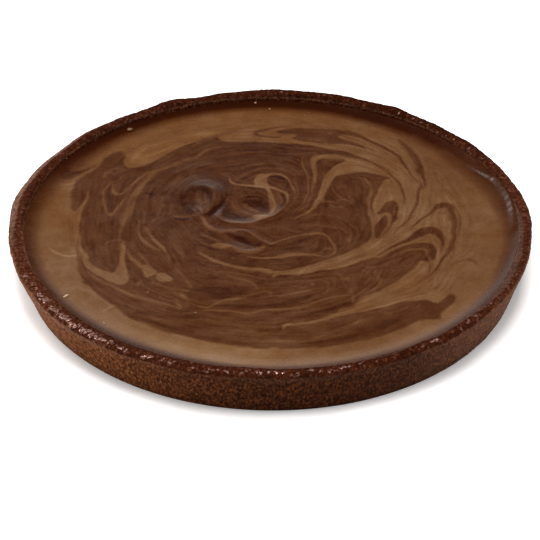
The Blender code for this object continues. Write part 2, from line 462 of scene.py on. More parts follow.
def build_crust_material():
    """Open, matt crumb on the wall, and a darker crest with glaze and smeared chocolate."""
    material, tree, shader = new_material("baked_crust")
    grain, pits = add_grain(tree, WALL_GRAIN)
    fine, _ = add_grain(tree, CREST_GRAIN)
    broad, _ = add_grain(tree, BLOTCH)

    # The crumb: the wall's browns run raggedly into the crest's, and the pits are darkened with
    # painted shade
    paleness = read_attribute(tree, "paleness")
    wander = ease(tree, broad, 0.0, 1.0, -0.25, 0.25)
    crest_share = ease(tree, plus(tree, read_attribute(tree, "crest_share"), wander), 0.1, 0.9)
    wall = mix_colours(tree, paleness, ramp(tree, grain, DARK_WALL), ramp(tree, grain, PALE_WALL))
    crest = mix_colours(tree, paleness, ramp(tree, fine, DARK_CREST), ramp(tree, fine, PALE_CREST))
    colour = mix_colours(tree, crest_share, wall, crest)
    painted_pit_shade = ease(tree, crest_share, 0.0, 1.0, 0.8, 0.2)
    colour = shaded(tree, painted_pit_shade, colour, ease(tree, pits, 0.0, 1.0, 1.0, 0.55))

    # Chocolate smeared over it with a frayed edge, and the pale pinkish grey, which is painted sheen
    # on the ledge and under the glaze
    frayed = times(tree, broad, 0.8)
    frayed = plus(tree, times(tree, read_attribute(tree, "smear"), 1.4), frayed)
    smear = ease(tree, frayed, 0.7, 1.5, 0.0, 0.85)
    colour = mix_colours(tree, smear, colour, ramp(tree, fine, SMEARED))
    pale_grey_and_sheen = times(tree, read_attribute(tree, "pale_grey_and_sheen"), ease(tree, fine, 0.0, 0.8, 0.4, 1.0))
    colour = mix_colours(tree, pale_grey_and_sheen, colour, tint(*PALE_GREY_AND_SHEEN))

    # The glaze: patches of small shining beads
    laid = read_attribute(tree, "glaze")
    patches = ease(tree, plus(tree, laid, times(tree, broad, 0.8)), 0.8, 1.15)
    patches = times(tree, patches, ease(tree, laid, 0.0, 0.12))
    beads = noise(tree, own_place(tree), BEADS_PER_METRE, 0.0).outputs["Fac"]
    glaze = times(tree, patches, ease(tree, beads, 0.36, 0.60))
    colour = mix_colours(tree, glaze, colour, GLAZE_SHINE)

    tree.links.new(colour, shader.inputs["Base Color"])
    tree.links.new(times(tree, glaze, 0.75), shader.inputs["Metallic"])
    dull = ease(tree, smear, 0.0, 1.0, 0.75, 0.40)
    dull = reckon(tree, "SUBTRACT", dull, times(tree, glaze, 0.55))
    tree.links.new(reckon(tree, "MAXIMUM", dull, 0.2), shader.inputs["Roughness"])
    shader.inputs["Specular IOR Level"].default_value = 0.02
    relief = reckon(tree, "SUBTRACT", grain, times(tree, pits, 0.6))
    relief = times(tree, relief, ease(tree, smear, 0.0, 1.0, 1.0, 0.25))
    relief = times(tree, relief, reckon(tree, "SUBTRACT", 1.0, glaze))
    relief = plus(tree, relief, times(tree, times(tree, beads, 0.5), glaze))
    raise_bumps(tree, shader, relief, 0.0005, 0.85)
    return material


crumb_grain = build_crumb_grain()
crust = make_case(build_crust_material())
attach(crust, "root")
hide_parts("pastry_case")


# ---------------------------------------------------------------------------------------------
# Chocolate filling
# Milk and dark chocolate ganache, poured warm into the baked case, one into the other. A spoon
# drew them round into a marble and left soft folds beside the middle before it set.

FILLING_LEVEL = 0.0225       # height of its flat part
EDGE_BITE = 0.0004           # how far its edge runs into the crumb
FIELD_RADIUS = 0.106         # inside it the mesh is even, outside it runs in rings
FIELD_RINGS = 160
RIM_RINGS = 20

# How it climbs the pastry: azimuth in degrees, height of its edge, and how far in from the
# edge the climb begins
EDGE_CLIMB = (
    (-180, 0.0245, 0.0080),
    (-150, 0.0256, 0.0115),
    (-135, 0.0258, 0.0140),
    (-120, 0.0259, 0.0160),
    (-105, 0.0258, 0.0162),
    (-90, 0.0256, 0.0175),
    (-60, 0.0257, 0.0160),
    (-30, 0.0256, 0.0115),
    (0, 0.0252, 0.0095),
    (25, 0.0248, 0.0070),
    (45, 0.0240, 0.0065),
    (60, 0.0238, 0.0065),
    (90, 0.0231, 0.0065),
    (120, 0.0231, 0.0065),
    (150, 0.0236, 0.0070),
    (180, 0.0245, 0.0080),
)
# Hollows that the spoon left: centre x and y, half length, half width, turn in degrees, depth
HOLLOWS = (
    (-0.0395, 0.0230, 0.0090, 0.0060, 80, 0.0006),
    (-0.0280, 0.0170, 0.0100, 0.0026, 68, 0.0010),
    (-0.0120, 0.0190, 0.0130, 0.0105, 15, 0.0009),
    (-0.0155, -0.0150, 0.0095, 0.0045, -32, 0.0007),
)


def hollow_depth(x, y, hollow):
    """Depth of one oval hollow."""
    centre_x, centre_y, half_length, half_width, turn, depth = hollow
    cosine = math.cos(math.radians(turn))
    sine = math.sin(math.radians(turn))
    along = ((x - centre_x) * cosine + (y - centre_y) * sine) / half_length
    across = ((y - centre_y) * cosine - (x - centre_x) * sine) / half_width
    return depth * np.exp(-(along * along + across * across))


def edge_climb(azimuth):
    """Height of the filling's edge, how far in its climb reaches, and the edge's radius."""
    angles, heights, reaches = np.array(EDGE_CLIMB).T
    height = np.interp(azimuth, angles, heights)
    reach = np.interp(azimuth, angles, reaches)
    return height, reach, inner_radius(np.minimum(height, SHOULDER_HEIGHT)) + EDGE_BITE


def filling_top(x, y):
    """Height of the filling's top without its folds: level, hollows, the climb up the pastry."""
    edge_height, reach, edge = edge_climb(np.degrees(np.arctan2(y, x)))
    inset = np.clip(edge - np.hypot(x, y), 0, None)
    height = FILLING_LEVEL + (edge_height - FILLING_LEVEL) * np.clip(1 - inset / reach, 0, 1) ** 2
    for hollow in HOLLOWS:
        height = height - hollow_depth(x, y, hollow)
    return height


# The marble is painted on a fine square sheet, in millimetres, x to the right and y to the back
CELL = 0.35
SHEET_HALF = 130.0
sheet_axis = np.arange(-SHEET_HALF, SHEET_HALF + CELL / 2, CELL)
sheet_x, sheet_y = np.meshgrid(sheet_axis, sheet_axis)


def through(points, step=0.9, closed=False):
    """Points along a smooth curve through the given ones, with any further columns eased too."""
    given = np.array(points, float)
    if closed:
        given = np.vstack([given[-1], given, given[:2]])
    else:
        given = np.vstack([2 * given[0] - given[1], given, 2 * given[-1] - given[-2]])
    chord = np.hypot(*np.diff(given[:, :2], axis=0).T) + 1e-9
    pieces = []
    for i in range(1, len(given) - 2):
        before, here, there, after = given[i - 1:i + 3]
        first, middle, last = chord[i - 1:i + 2]
        leave = (here - before) / first * middle + (there - here) / middle * first
        leave *= middle / (first + middle)
        arrive = (there - here) / middle * last + (after - there) / last * middle
        arrive *= middle / (middle + last)
        count = max(2, int(middle / step))
        share = np.arange(count)[:, None] / count
        square = share * share
        cube = square * share
        pieces.append(
            (2 * cube - 3 * square + 1) * here
            + (cube - 2 * square + share) * leave
            + (3 * square - 2 * cube) * there
            + (cube - square) * arrive
        )
    if not closed:
        pieces.append(given[-2:-1])
    return np.vstack(pieces)


def between_cells(table, column, row, across, up):
    """A table's values between its cells, at those shares of the way to the next ones."""
    near = table[row, column] * (1 - across) + table[row, column + 1] * across
    far = table[row + 1, column] * (1 - across) + table[row + 1, column + 1] * across
    return near * (1 - up) + far * up


def sheet_noise(rng, size):
    """Smooth random swellings over the sheet, of about that size in millimetres."""
    count = int(2 * SHEET_HALF / size) + 4
    table = rng.standard_normal((count, count))
    across = (sheet_x + SHEET_HALF) / size + 1
    up = (sheet_y + SHEET_HALF) / size + 1
    column = np.floor(across).astype(int)
    row = np.floor(up).astype(int)
    across = smoothstep(0, 1, across - column)
    up = smoothstep(0, 1, up - row)
    return between_cells(table, column, row, across, up)


# The drawn lines waver a little, as stirred chocolate does
wavering = np.random.default_rng(3)
drawn_x = sheet_x + 0.5 * sheet_noise(wavering, 9) + 0.2 * sheet_noise(wavering, 4)
drawn_y = sheet_y + 0.5 * sheet_noise(wavering, 9) + 0.2 * sheet_noise(wavering, 4)
tone = np.ones_like(sheet_x)     # 1 is milk chocolate, 0 is dark chocolate
relief = np.zeros_like(sheet_x)  # height of the folds in millimetres
FLOW_SKIP = 8                    # the flow is kept on every eighth cell of the sheet
flow = np.zeros((2, *sheet_x[::FLOW_SKIP, ::FLOW_SKIP].shape))


def sheet_window(low, high, margin):
    """The part of the sheet between two corners, and that margin round it."""
    first = np.clip(((low - margin + SHEET_HALF) / CELL).astype(int), 0, len(sheet_axis))
    last = np.clip(((high + margin + SHEET_HALF) / CELL).astype(int) + 2, 0, len(sheet_axis))
    return slice(first[1], last[1]), slice(first[0], last[0])


def past_segment(window, here, there):
    """Of each cell: how far along a segment it lies, from 0 to 1, and x and y from there."""
    x = drawn_x[window] - here[0]
    y = drawn_y[window] - here[1]
    run_x, run_y = (there - here)[:2]
    along = np.clip((x * run_x + y * run_y) / (run_x * run_x + run_y * run_y + 1e-9), 0, 1)
    return along, x - along * run_x, y - along * run_y


def line_gap(curve, reach):
    """Distance from the edge of a line of x, y and width, up to that reach: less than 0 in it."""
    gap = np.full(sheet_x.shape, reach)
    for here, there in zip(curve, curve[1:]):
        low = np.minimum(here, there)[:2]
        high = np.maximum(here, there)[:2]
        window = sheet_window(low, high, reach + max(here[2], there[2]) / 2 + 2)
        along, x, y = past_segment(window, here, there)
        width = here[2] + (there[2] - here[2]) * along
        gap[window] = np.minimum(gap[window], np.hypot(x, y) - width / 2)
    return gap


def inside(outline):
    """Which cells of the sheet lie inside a closed outline."""
    within = np.zeros(sheet_x.shape, bool)
    window = sheet_window(outline.min(0)[:2], outline.max(0)[:2], 2)
    x = drawn_x[window]
    y = drawn_y[window]
    for here, there in zip(outline, np.roll(outline, -1, axis=0)):
        if here[1] != there[1]:
            crossing = here[0] + (there[0] - here[0]) * (y - here[1]) / (there[1] - here[1])
            within[window] ^= ((here[1] > y) != (there[1] > y)) & (x < crossing)
    return within


def stir(curve):
    """Remember which way the chocolate was drawn along a line."""
    run = np.diff(curve[:, :2], axis=0)
    middle = (curve[1:, :2] + curve[:-1, :2]) / 2
    cell = np.rint((middle + SHEET_HALF) / (CELL * FLOW_SKIP)).astype(int)
    cell = np.clip(cell, 0, flow.shape[1] - 1)
    length = np.hypot(*run.T)
    double = 2 * np.arctan2(run[:, 1], run[:, 0])
    np.add.at(flow[0], (cell[:, 1], cell[:, 0]), length * np.cos(double))
    np.add.at(flow[1], (cell[:, 1], cell[:, 0]), length * np.sin(double))


def lay(value, softness, gap):
    """Lay one chocolate over the last, with an edge of that softness in millimetres."""
    cover = 1 - smoothstep(-softness / 2, softness / 2, gap)
    tone[...] += (value - tone) * cover


def pool(value, softness, *outline):
    """A patch of chocolate inside a closed outline of x and y."""
    curve = through([(x, y, 0.0) for x, y in outline], closed=True)
    gap = line_gap(np.vstack([curve, curve[:1]]), softness + 1)
    lay(value, softness, np.where(inside(curve), -gap, gap))
    stir(curve)


def ribbon(value, softness, *path):
    """A drawn line of chocolate along a path of x, y and width."""
    curve = through(path)
    curve[:, 2] = np.maximum(curve[:, 2], 0)
    lay(value, softness, line_gap(curve, softness + 1))
    stir(curve)


def ridge(height, left_reach, right_reach, *path):
    """A soft fold along a path of x, y and strength, falling away that far on its two sides."""
    curve = through(path)
    reach = max(left_reach, right_reach)
    gap = np.full(sheet_x.shape, float(reach))
    fold = np.zeros(sheet_x.shape)
    for here, there in zip(curve, curve[1:]):
        low = np.minimum(here, there)[:2]
        high = np.maximum(here, there)[:2]
        window = sheet_window(low, high, reach + 2)
        along, x, y = past_segment(window, here, there)
        run_x, run_y, growth = there - here
        away = np.hypot(x, y)
        side = np.where(run_x * y > run_y * x, left_reach, right_reach)
        nearer = away < gap[window]
        rise = (here[2] + growth * along) * np.clip(1 - away / side, 0, 1) ** 2
        fold[window] = np.where(nearer, rise, fold[window])
        gap[window] = np.where(nearer, away, gap[window])
    relief[...] += height * fold


# The dark mass in the milk
pool(
    0.08, 1.2,
    (0, 82.7), (8, 82), (15, 81.2), (22, 79.3), (30, 77), (38, 74.3), (45, 71), (50, 67.5),
    (55, 64), (60, 59.5), (64, 54.5), (61, 50), (52, 58), (46, 64), (38, 69), (28, 70), (24, 64),
    (24, 50), (33, 48), (40, 50), (45, 51.3), (50, 51.5), (56, 50.3), (60, 49), (63.5, 46.5),
    (60.5, 44.5), (58.5, 41), (57.3, 36), (56, 30), (54.5, 24), (51, 20), (51, 12), (52.5, 6),
    (54, -1), (53, -7), (51, -13), (48, -18), (45, -21.5), (41, -26), (37, -30), (30, -36),
    (24, -40), (30, -41), (38, -37.5), (46, -33), (52, -29.5), (57, -29), (62, -24.5), (66, -21),
    (70, -18.5), (75, -16.3), (79, -15.7), (82.5, -17.5), (84.5, -21), (85, -25), (84.5, -30),
    (80, -33.5), (76, -33.5), (73.5, -38), (71.5, -41.5), (69, -45), (66, -49), (63, -52.5),
    (60, -55.5), (56, -58.5), (52, -61.5), (47, -65.3), (42, -68.7), (37, -73), (33, -78),
    (40, -79), (45, -77.5), (50, -76), (55, -74), (60, -71.3), (65, -69), (70, -67.7), (75, -67.5),
    (78, -68.3), (80, -69.5), (83, -70), (85.2, -68), (86.8, -65), (88.2, -62.4), (90.8, -62.3),
    (91.3, -64.8), (90.5, -68), (88.5, -72), (86, -75.5), (83.5, -78.5), (82.6, -82.6),
    (79.6, -84.2), (75.5, -84.5), (71.4, -85.2), (67.3, -87.7), (63.2, -91.3), (59.2, -94.4),
    (54.1, -97.4), (47.9, -100.3), (40.8, -103), (33.7, -105.1), (25.5, -106.8), (15.2, -107.3),
    (8.1, -107.8), (0, -107.5), (-10.1, -106.9), (-20.3, -105.4), (-28.4, -103.3), (-34.5, -101.3),
    (-40.6, -99), (-45.7, -96.7), (-50.7, -94.4), (-54.8, -92.4), (-58.9, -89.8), (-62.9, -87.6),
    (-67, -84.8), (-71, -81.2), (-75.1, -77.6), (-77.5, -73.5), (-81, -70), (-84.5, -66),
    (-86.5, -62), (-90, -58), (-94, -54), (-95.3, -50), (-96, -44), (-96.7, -36), (-97.3, -29),
    (-96, -24), (-97.5, -19), (-98.5, -14), (-99.3, -8), (-99.8, 0), (-99.8, 7), (-99.3, 14),
    (-98.3, 19), (-97.5, 25), (-98.5, 31), (-100, 38), (-100, 43), (-98.5, 48), (-96.5, 52),
    (-94.8, 56), (-93.3, 61), (-91.5, 65), (-89.5, 68), (-87, 71), (-84, 72.7), (-81, 71),
    (-80, 68), (-80.7, 63), (-80.5, 58.5), (-77.5, 55.5), (-74, 55.7), (-71, 57.2), (-68, 59.5),
    (-64, 63), (-60, 67), (-55, 72), (-50, 76.5), (-45, 80.5), (-40, 84), (-36, 86.5), (-32, 89),
    (-29, 90.8), (-30.5, 87), (-29.5, 85), (-26, 83.7), (-20, 83.3), (-10, 83.5),
)
pool(
    1.02, 1.2,
    (40, 63.3), (46, 64), (52, 61.5), (58, 56.5), (63, 50), (66.5, 43), (69, 34), (69.5, 25),
    (68.3, 15), (66, 5), (62, -5), (56, -13), (50, -20), (43, -25.5), (36, -32), (30, -37),
    (24, -40.5), (30, -41.5), (38, -37.8), (46, -33), (52, -29.5), (60, -24), (68, -16), (75, -8),
    (82, 2), (84, -3), (80, 12), (80, 30), (82, 45), (78, 62), (72, 76), (62, 86), (50, 94),
    (52, 86), (60, 80), (67, 70), (71, 60), (73, 50), (64, 54), (60, 59), (55, 64),
)
ribbon(0.2, 1.0, (-32, 88.5, 3), (-28.5, 90.7, 1.8), (-25, 92.3, 1.1), (-21.5, 92.9, 0.4))
pool(
    1.3, 4,
    (-77.5, 61), (-74, 59.6), (-66, 63.5), (-57.5, 72), (-50.5, 79.5), (-58, 84.6), (-68, 80),
    (-75.4, 69.5),
)
ribbon(1.2, 4, (-55, 86, 2), (-46, 88.5, 4), (-36, 91.5, 4), (-26, 94, 2.4))
ribbon(0.86, 5, (-62, 100, 2), (-80, 86, 5), (-92, 74.5, 5.4), (-101, 63, 4.4), (-106, 54, 2))
ribbon(
    0.5, 1.4,
    (-82.3, 67.9, 0.8), (-79.5, 71.5, 1.1), (-76.5, 75, 1.2), (-72.7, 79, 1), (-68, 83.4, 0.5),
)
ribbon(0.4, 1.2, (-22.5, 92, 0.5), (-30.3, 88.6, 1.3), (-38, 84.7, 1.5), (-43.4, 77.6, 0.6))

# Outer arm on the left
pool(
    0.12, 1.0,
    (-104, 44), (-106, 37), (-107.2, 30), (-107, 24), (-106.2, 19), (-105.2, 15), (-104.2, 12),
    (-103.3, 11.6), (-102, 14), (-100.7, 18), (-99.5, 22), (-98.3, 27), (-97.6, 33), (-97, 40),
    (-97, 48), (-99, 50), (-101.5, 48),
)
ribbon(0.3, 1.6, (-103.5, 38, 1.2), (-103.5, 30, 1.4), (-103, 22, 1.2), (-103.5, 16, 0.6))
ribbon(
    0.85, 0.9,
    (-102.3, 9, 2.6), (-101, 13, 2), (-99.8, 17.5, 1.7), (-98.6, 22, 1.4), (-97.8, 27, 1.1),
    (-97.2, 32, 0.5),
)
# Smear at the left back
pool(
    0.25, 2.0,
    (-112, 43.5), (-108, 43.3), (-104, 46.5), (-100.5, 50.5), (-97.5, 54.5), (-96.3, 57.3),
    (-99.5, 55.5), (-103.5, 52.3), (-107, 52), (-109.5, 56), (-112, 56), (-113, 50),
)
ribbon(
    0.97, 1.2,
    (-108, 42, 1.5), (-104, 44.5, 1.8), (-100.7, 48.3, 1.5), (-97.3, 53, 1.4), (-94.8, 57.5, 1.2),
    (-93, 62, 1),
)

# Back lens
pool(
    0.12, 1.0,
    (3.3, 94.6), (6, 96.3), (10, 97.6), (15, 98.3), (20, 98.8), (25, 99), (30, 98.5), (35, 97.5),
    (40, 96.2), (45, 94.2), (50, 91.3), (48, 89.5), (44, 91), (40, 91.2), (37.5, 89), (40, 86.5),
    (44, 84.8), (48, 82.6), (50.3, 79.5), (52.3, 75.5), (50, 77.3), (47.5, 78.8), (43, 80.5),
    (38, 81.7), (33, 82.2), (27, 81.9), (20, 83.3), (15, 84.7), (12, 86), (10.3, 87.2),
    (12.5, 88.5), (14, 90), (11, 91.3), (7, 91.7), (4.5, 92.8),
)
ribbon(
    0.12, 0.9,
    (42, 94.6, 3.6), (46, 92.6, 3.2), (50, 90, 2.8), (55, 85.8, 2.4), (60, 81.2, 2.3),
    (64, 76.7, 2.2), (67, 72.7, 2), (69.5, 68.7, 1.4), (71.2, 64.5, 1.5), (72.2, 61.5, 1.8),
    (73.2, 57, 1), (75, 52, 0.9), (76.2, 47, 0.9), (77.8, 41.5, 0.8),
)
ribbon(
    0.2, 0.9,
    (5, 88.6, 0.8), (1, 88.5, 1.9), (-3, 89, 1.9), (-6.5, 90, 2.4), (-8.6, 91.8, 2.8),
    (-8, 94.2, 2.2), (-5.2, 96.1, 1.6), (-1.5, 97.7, 1), (3, 98.6, 0.9), (8, 99.7, 0.7),
    (13, 100.3, 0.3),
)
ribbon(0.75, 1.5, (40.5, 90.2, 1), (44, 88.5, 2.2), (48, 86, 2.5), (51, 83, 1.5))
ribbon(0.6, 1.2, (31.5, 93, 1.4), (33, 93, 1.4))
ribbon(0.45, 2.0, (21, 85.5, 2.2), (26, 85, 2.2), (31, 84, 1.5))
ribbon(
    1.05, 1.4,
    (-28, 87.5, 1), (-20, 86.5, 2), (-10, 86, 2.5), (0, 85.8, 2.6), (10, 84.6, 2.4),
    (18, 82.4, 2.2), (25, 80.3, 2), (32, 78.6, 2), (38, 77.8, 2.4),
)
# Stripe at the right back and thin lines
ribbon(
    0.15, 1.0,
    (71.3, 87, 0.8), (73, 82, 2), (75, 77.5, 2.9), (77, 72, 3.7), (78.4, 66, 4.3), (79.6, 60, 4.2),
    (80.6, 54, 3.6), (81.6, 48, 2.5), (82.3, 43, 1.4), (82, 38, 1), (81.2, 35, 0.6),
)
ribbon(
    0.25, 0.9,
    (80.1, 41, 1), (79.8, 37, 2), (79.4, 33.5, 1.6), (78.8, 29, 1.2), (77.6, 23, 1.3),
    (76.2, 17.5, 1.3), (74.5, 12, 1.1), (72.3, 6.5, 1.1), (69.5, 1, 1.1), (66.5, -4, 0.9),
    (63.5, -8.5, 0.5),
)
# Milk arches right of the back
ribbon(
    0.85, 1.2,
    (23.5, 41, 2), (23.8, 46, 2), (24.1, 52, 2), (24, 58, 2.2), (22.8, 63, 2.6), (23.2, 67, 2.8),
    (26, 69, 2.6), (31, 69.3, 2.6), (37, 68.4, 2.6), (43, 66.3, 3.2), (48, 63, 5), (52, 58.5, 7),
)
pool(
    0.1, 0.9,
    (25.7, 63.8), (28, 65.4), (33, 66), (38.5, 66), (43.5, 65.2), (40, 63.3), (37, 60.8),
    (35, 57.5), (33, 54.3), (31, 50.8), (29, 47.3), (27.6, 44), (26.6, 40), (25.8, 36), (25.2, 41),
    (25, 48), (24.9, 56),
)
ribbon(0.4, 1.2, (28, 52, 1.5), (28.8, 49, 1.6), (28.8, 46.5, 0.8))
ribbon(
    1.05, 1.0,
    (40, 58.5, 8), (37, 55.5, 7.5), (34, 51.5, 6.4), (32, 47, 5.4), (30.3, 42, 4.6), (29, 37, 3.9),
    (27.6, 31, 3.5), (26.2, 26, 3), (24.5, 21.5, 2.8), (22.5, 17.5, 2.4), (20, 13, 1.6),
    (17, 9.5, 1), (13, 6.5, 0.5),
)
ribbon(0.1, 1.0, (37, 60.8, 0.4), (38.5, 62, 0.4))
ribbon(1.02, 1.2, (42, 65.8, 3), (50, 61.5, 4.4), (56, 56.5, 4.8), (61, 50.5, 4.4), (64.5, 44, 3))
ribbon(1.02, 1.2, (46, 70.6, 2), (55, 65.6, 3), (61, 60, 3), (66, 53, 3), (69.6, 46, 2))
ribbon(
    0.28, 0.9,
    (15.7, 71, 0.5), (26.6, 70.8, 1), (36.6, 71, 1.2), (43.1, 68.4, 1.5), (51.3, 64.2, 1.6),
    (58.5, 58, 1.7), (64.8, 50, 1.6), (68.8, 40, 1.4), (71.1, 29.4, 1.1), (70.9, 20.5, 0.5),
)
# Dark lobe right of the band with its right hand tail
pool(
    0.08, 1.0,
    (36.5, 47), (40, 50), (45, 51.4), (50, 51.7), (56, 50.5), (60, 49), (63.8, 46.4), (60.5, 44.5),
    (58.5, 41), (57.3, 36), (56, 30), (54.7, 25), (53.3, 20), (51.5, 15), (51.5, 10), (52.5, 6),
    (53.5, 1), (53, -6), (51.3, -12), (48, -17.5), (44.5, -21.5), (40, -26), (30, -25), (28, 0),
    (26, 15), (28, 24), (31, 35), (33.5, 42),
)
ribbon(
    0.75, 0.9,
    (50.6, 45.5, 0.7), (52, 42.5, 1.5), (53, 39, 1.9), (53.4, 35, 2), (53, 31, 1.9),
    (52.2, 27, 1.9), (51.9, 22, 2), (52.5, 17, 2.4), (53.5, 11, 2.8), (54, 5, 3), (54.5, -1, 3),
    (54, -7, 2.6), (52, -13, 2),
)
ribbon(
    0.15, 0.8,
    (57.5, 41.5, 3.6), (56.4, 37, 2.6), (55.6, 32.5, 1.9), (54.7, 28, 1.4), (53.8, 23, 1.1),
    (53.2, 18, 0.9), (53.3, 13, 0.5),
)
# Small light veins in the lobe
ribbon(0.5, 1.2, (25.5, 22.8, 1.6), (29, 22, 1.7), (32.5, 21.4, 1.4), (35, 20.4, 0.8))
ribbon(0.45, 1.1, (30, 19.6, 1), (31.3, 17.7, 1.4), (33.8, 16.9, 1.4), (37, 17.2, 0.9))
ribbon(
    0.45, 1.2,
    (34.3, 20.8, 1), (36, 23.2, 1.6), (38.5, 24.3, 1.8), (41, 23, 1.2), (42.5, 21, 0.6),
)
ribbon(0.5, 1.1, (33, 37, 1), (33.4, 33, 1.3), (34.6, 29.5, 1.4), (36.5, 26.8, 1.3), (38, 25, 1))
ribbon(0.35, 1.2, (43.5, 34, 0.8), (42.8, 30, 1.1), (41.5, 26, 1))
ribbon(0.35, 1.3, (33, 41, 1.2), (35.5, 38, 1.4), (36, 34, 1))
# Horseshoe 1
pool(
    0.1, 0.9,
    (55.6, 11), (57, 14), (58.5, 17.5), (60, 21), (62, 23.2), (64.6, 23.9), (66.7, 22.3),
    (67.4, 18.5), (67, 14), (66.2, 9.5), (65.2, 5.5), (63.8, 2.5), (62.4, 0), (61.8, 3.5),
    (62.5, 7), (62.6, 10.5), (61, 12.3), (59, 12), (57.2, 9.8),
)
ribbon(
    0.85, 0.9,
    (55.3, 4.5, 1), (56.9, 8.3, 1.4), (58.8, 10.8, 1.7), (60.9, 11.4, 1.8), (62.4, 9.6, 1.5),
    (62.6, 6, 1.2), (62, 3, 0.9),
)
ribbon(0.5, 1.0, (64.6, 16, 0.8), (64.7, 12.5, 0.9), (64.3, 9, 0.5))
pool(
    0.12, 0.9,
    (60, 9.4), (61.2, 6.3), (61.2, 2), (60, -2.3), (58, -6.3), (56, -10), (54.3, -12), (54, -6),
    (54.6, -2), (55.8, 2.2), (57.7, 6.3),
)
ribbon(0.35, 1.0, (63, 1, 1), (60.8, -4, 1.1), (58.3, -8.5, 1.1), (55.8, -12, 0.6))
# Horseshoe 2
ribbon(
    0.22, 0.9,
    (72.5, -3, 0.4), (75, 0.3, 1.1), (78, 4, 1.3), (81, 7.8, 1.4), (83.7, 11.3, 1.7),
    (85.8, 14.5, 2.6), (88, 17.8, 4), (90.8, 19.8, 4.8), (93.2, 19.6, 4.9), (95, 16.8, 4.2),
    (95.5, 12.5, 3.3), (95.8, 7, 3), (95.6, 1, 3), (95, -5, 3), (94.2, -10, 2.7), (93, -15, 2.1),
    (91.8, -20, 2), (90.3, -25, 1.7), (88.3, -30.5, 1.5), (86, -35.5, 1.4), (83.3, -40.3, 1.2),
    (80, -45, 1), (77, -48.5, 0.6),
)
ribbon(
    0.9, 0.8,
    (96.5, 20.5, 0.5), (97.3, 17, 1), (97.8, 12, 1), (98, 6, 1), (97.7, 0, 1), (97, -6, 0.8),
    (96, -11, 0.4),
)
ribbon(
    0.4, 0.8,
    (97, 18.5, 0.6), (98.5, 14, 1), (99.2, 8, 1.1), (98.8, 2, 1), (98, -3.5, 1), (96.8, -9, 0.8),
    (95.3, -15, 0.5),
)
ribbon(
    0.55, 0.8,
    (84.8, 9.8, 0.7), (86.8, 12.3, 1), (88.6, 11.3, 1.5), (90.8, 11, 1), (92, 13, 0.7),
    (93.2, 9, 0.8), (93.5, 4, 0.5),
)
ribbon(0.6, 0.8, (79.5, -43, 0.5), (76.5, -48, 0.8), (74, -52, 0.8), (72, -55.5, 0.4))
# Horseshoe 3
ribbon(
    0.1, 0.9,
    (54.8, -27.8, 0.6), (58, -24.8, 1.2), (62, -20.8, 1.7), (66, -17.2, 2.2), (70, -13.9, 2.8),
    (74, -10.3, 4), (77.5, -7.2, 5.8), (81, -5, 6.8), (84.5, -4.8, 6.8), (86.8, -7.5, 5),
    (88, -11.5, 3.5), (88, -15.5, 2.4), (87.6, -20, 1.5), (87, -24.5, 0.8), (86.3, -28, 0.4),
)
ribbon(
    0.98, 0.9,
    (55.5, -29.2, 1.2), (60, -25.4, 1.5), (65, -21, 1.7), (70, -17.4, 1.9), (75, -14.8, 2.8),
    (79, -13, 4.2), (83, -12.3, 4.2), (85.6, -15, 3), (86.4, -20, 2), (86, -25, 1.6),
    (85.3, -30, 1.6),
)
# Arm 4: light lines and dark core
ribbon(
    0.5, 1.0,
    (61, -30, 0.8), (64.5, -27.7, 1.3), (68, -25, 1.3), (71.5, -23, 1.4), (75, -22.3, 1.4),
    (78, -22.5, 1.5), (79.5, -25, 1.5), (80.3, -29, 1.4), (81.7, -33, 1.2), (82.5, -37, 0.6),
)
ribbon(-0.1, 1.2, (81.5, -21, 3), (83, -25, 3.2), (83.2, -29, 2))
ribbon(0.3, 0.8, (80.5, -33, 1), (80.7, -37.5, 1.2), (79.5, -42, 0.8))
# Small arc in the milk on the right
ribbon(
    0.5, 0.9,
    (91.5, -37, 0.4), (94, -34.3, 0.7), (97, -32.4, 1), (100, -31.3, 1.5), (102.5, -31.6, 2),
    (104, -33.5, 1.3), (104.7, -36.5, 0.6),
)

# Band under the whirl
ribbon(
    0.9, 1.4,
    (-37, -26, 1), (-33, -30, 1.6), (-28, -34, 2), (-22, -37.6, 2.2), (-15, -40, 2.4),
    (-8, -41.5, 2.6), (-2, -43, 3.2), (4, -43.8, 4.4), (10, -43.5, 5), (16, -42, 5.6),
    (22, -39.8, 6), (28, -37, 6.4), (34, -33.5, 6.8), (40, -29.5, 7.4), (45, -26, 8),
)
ribbon(1.15, 1.0, (13, -45, 1.8), (15, -42.3, 2), (17.5, -39.8, 1), (21, -38, 0.5))
ribbon(0.95, 1.0, (3, -42, 1.8), (2, -45, 2), (1, -48.3, 0.8))
# Milk streak and the bright line on the lower arm
ribbon(
    1.0, 1.1,
    (6.3, -91.6, 0.8), (7.3, -89.7, 1.6), (12, -89, 1.5), (17, -87.6, 1.7), (22, -85.6, 2.1),
    (27, -83.2, 2.5), (32, -80.7, 3), (37, -78.3, 4), (42, -75.3, 6), (47, -72.3, 8),
)
ribbon(-0.1, 1.3, (4.3, -88.5, 2), (4.3, -91.5, 3.2), (3.6, -93.5, 1.6))
ribbon(
    1.25, 1.2,
    (45, -77.2, 1), (50, -74.8, 1.3), (55, -72.6, 1.4), (60, -70.2, 1.4), (65, -67.5, 1.3),
    (70, -65.2, 1.2), (75, -63.5, 1),
)
